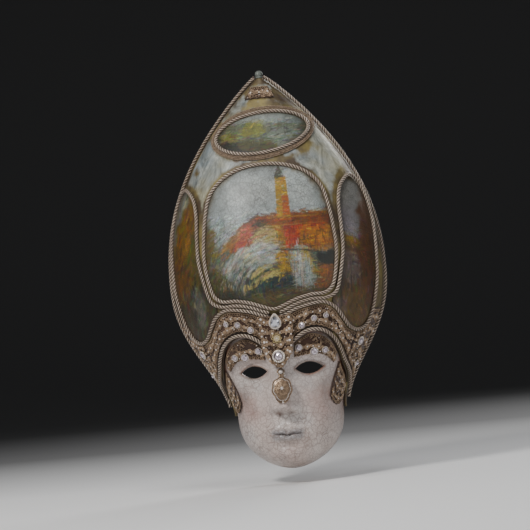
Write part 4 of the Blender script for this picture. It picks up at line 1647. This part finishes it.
def sweep():
    """A floor that curves up into a backdrop, in one sheet."""
    arc = [(FRONT_Y, 0.0), (BACK_Y - CURVE, 0.0)]
    arc += [(BACK_Y - CURVE + CURVE * math.sin(a), CURVE - CURVE * math.cos(a)) for a in np.linspace(0.1, math.pi / 2, 16)]
    arc += [(BACK_Y, 3.0)]
    points = [(x, y, FLOOR_Z + z) for y, z in arc for x in (-SIDE_X, SIDE_X)]
    faces = [(2 * k, 2 * k + 1, 2 * k + 3, 2 * k + 2) for k in range(len(arc) - 1)]
    mesh = bpy.data.meshes.new("floor")
    mesh.from_pydata(points, [], faces)
    # pale under the mask and in front of it, charcoal where it turns up behind
    paint = Paint("pale_floor", Roughness=0.85)
    along_y = paint.node("SeparateXYZ", Vector=paint.place()).outputs["Y"]
    shade = paint.ramp(paint.math("MULTIPLY", along_y, 0.5), (0.05, 0.80), (0.5, 0.16), (1.0, 0.03))
    mesh.materials.append(paint.finish(Base_Color=shade))
    mesh.polygons.foreach_set("use_smooth", [True] * len(faces))
    obj = bpy.data.objects.new("floor", mesh)
    bpy.context.scene.collection.objects.link(obj)


def lamp(name, place, target, size, power, colour=(1, 1, 1)):
    light = bpy.data.lights.new(name, "AREA")
    light.shape, light.size, light.energy, light.color = "DISK", size, power, colour
    obj = bpy.data.objects.new(name, light)
    obj.location = place
    obj.rotation_euler = (Vector(target) - Vector(place)).to_track_quat("-Z", "Y").to_euler()
    bpy.context.scene.collection.objects.link(obj)


sweep()
AIM = (0.0, -0.05, 0.12)
lamp("key", (-0.75, -1.4, 1.25), AIM, 0.4, 27, (1.0, 0.98, 0.95))
lamp("fill", (1.3, -1.2, 0.3), AIM, 0.9, 4, (0.96, 0.98, 1.0))
lamp("top", (0.1, -0.5, 1.6), AIM, 0.6, 6)
lamp("back", (0.7, 1.6, 0.95), AIM, 0.7, 14)
world = bpy.data.worlds.new("studio")
world.use_nodes = True
world.node_tree.nodes["Background"].inputs["Color"].default_value = (0.93, 0.95, 1.0, 1)
world.node_tree.nodes["Background"].inputs["Strength"].default_value = 0.2
bpy.context.scene.world = world

DISTANCE, LENS, AZIMUTH, ELEVATION, ROLL = 2.6, 155.5, 5.0, -1.5, 5.4
target = Vector((-0.0098, -0.05, 0.1198))
az, el = math.radians(AZIMUTH), math.radians(ELEVATION)
ray = Vector((math.sin(az) * math.cos(el), -math.cos(az) * math.cos(el), math.sin(el)))
camera_data = bpy.data.cameras.new("camera")
camera_data.lens, camera_data.sensor_width = LENS, 36
camera = bpy.data.objects.new("camera", camera_data)
camera.location = target + ray * DISTANCE
turn = (-ray).to_track_quat("-Z", "Y").to_matrix().to_4x4()
camera.matrix_world = Matrix.Translation(camera.location) @ turn @ Matrix.Rotation(math.radians(-ROLL), 4, "Z")
bpy.context.scene.collection.objects.link(camera)
bpy.context.scene.camera = camera
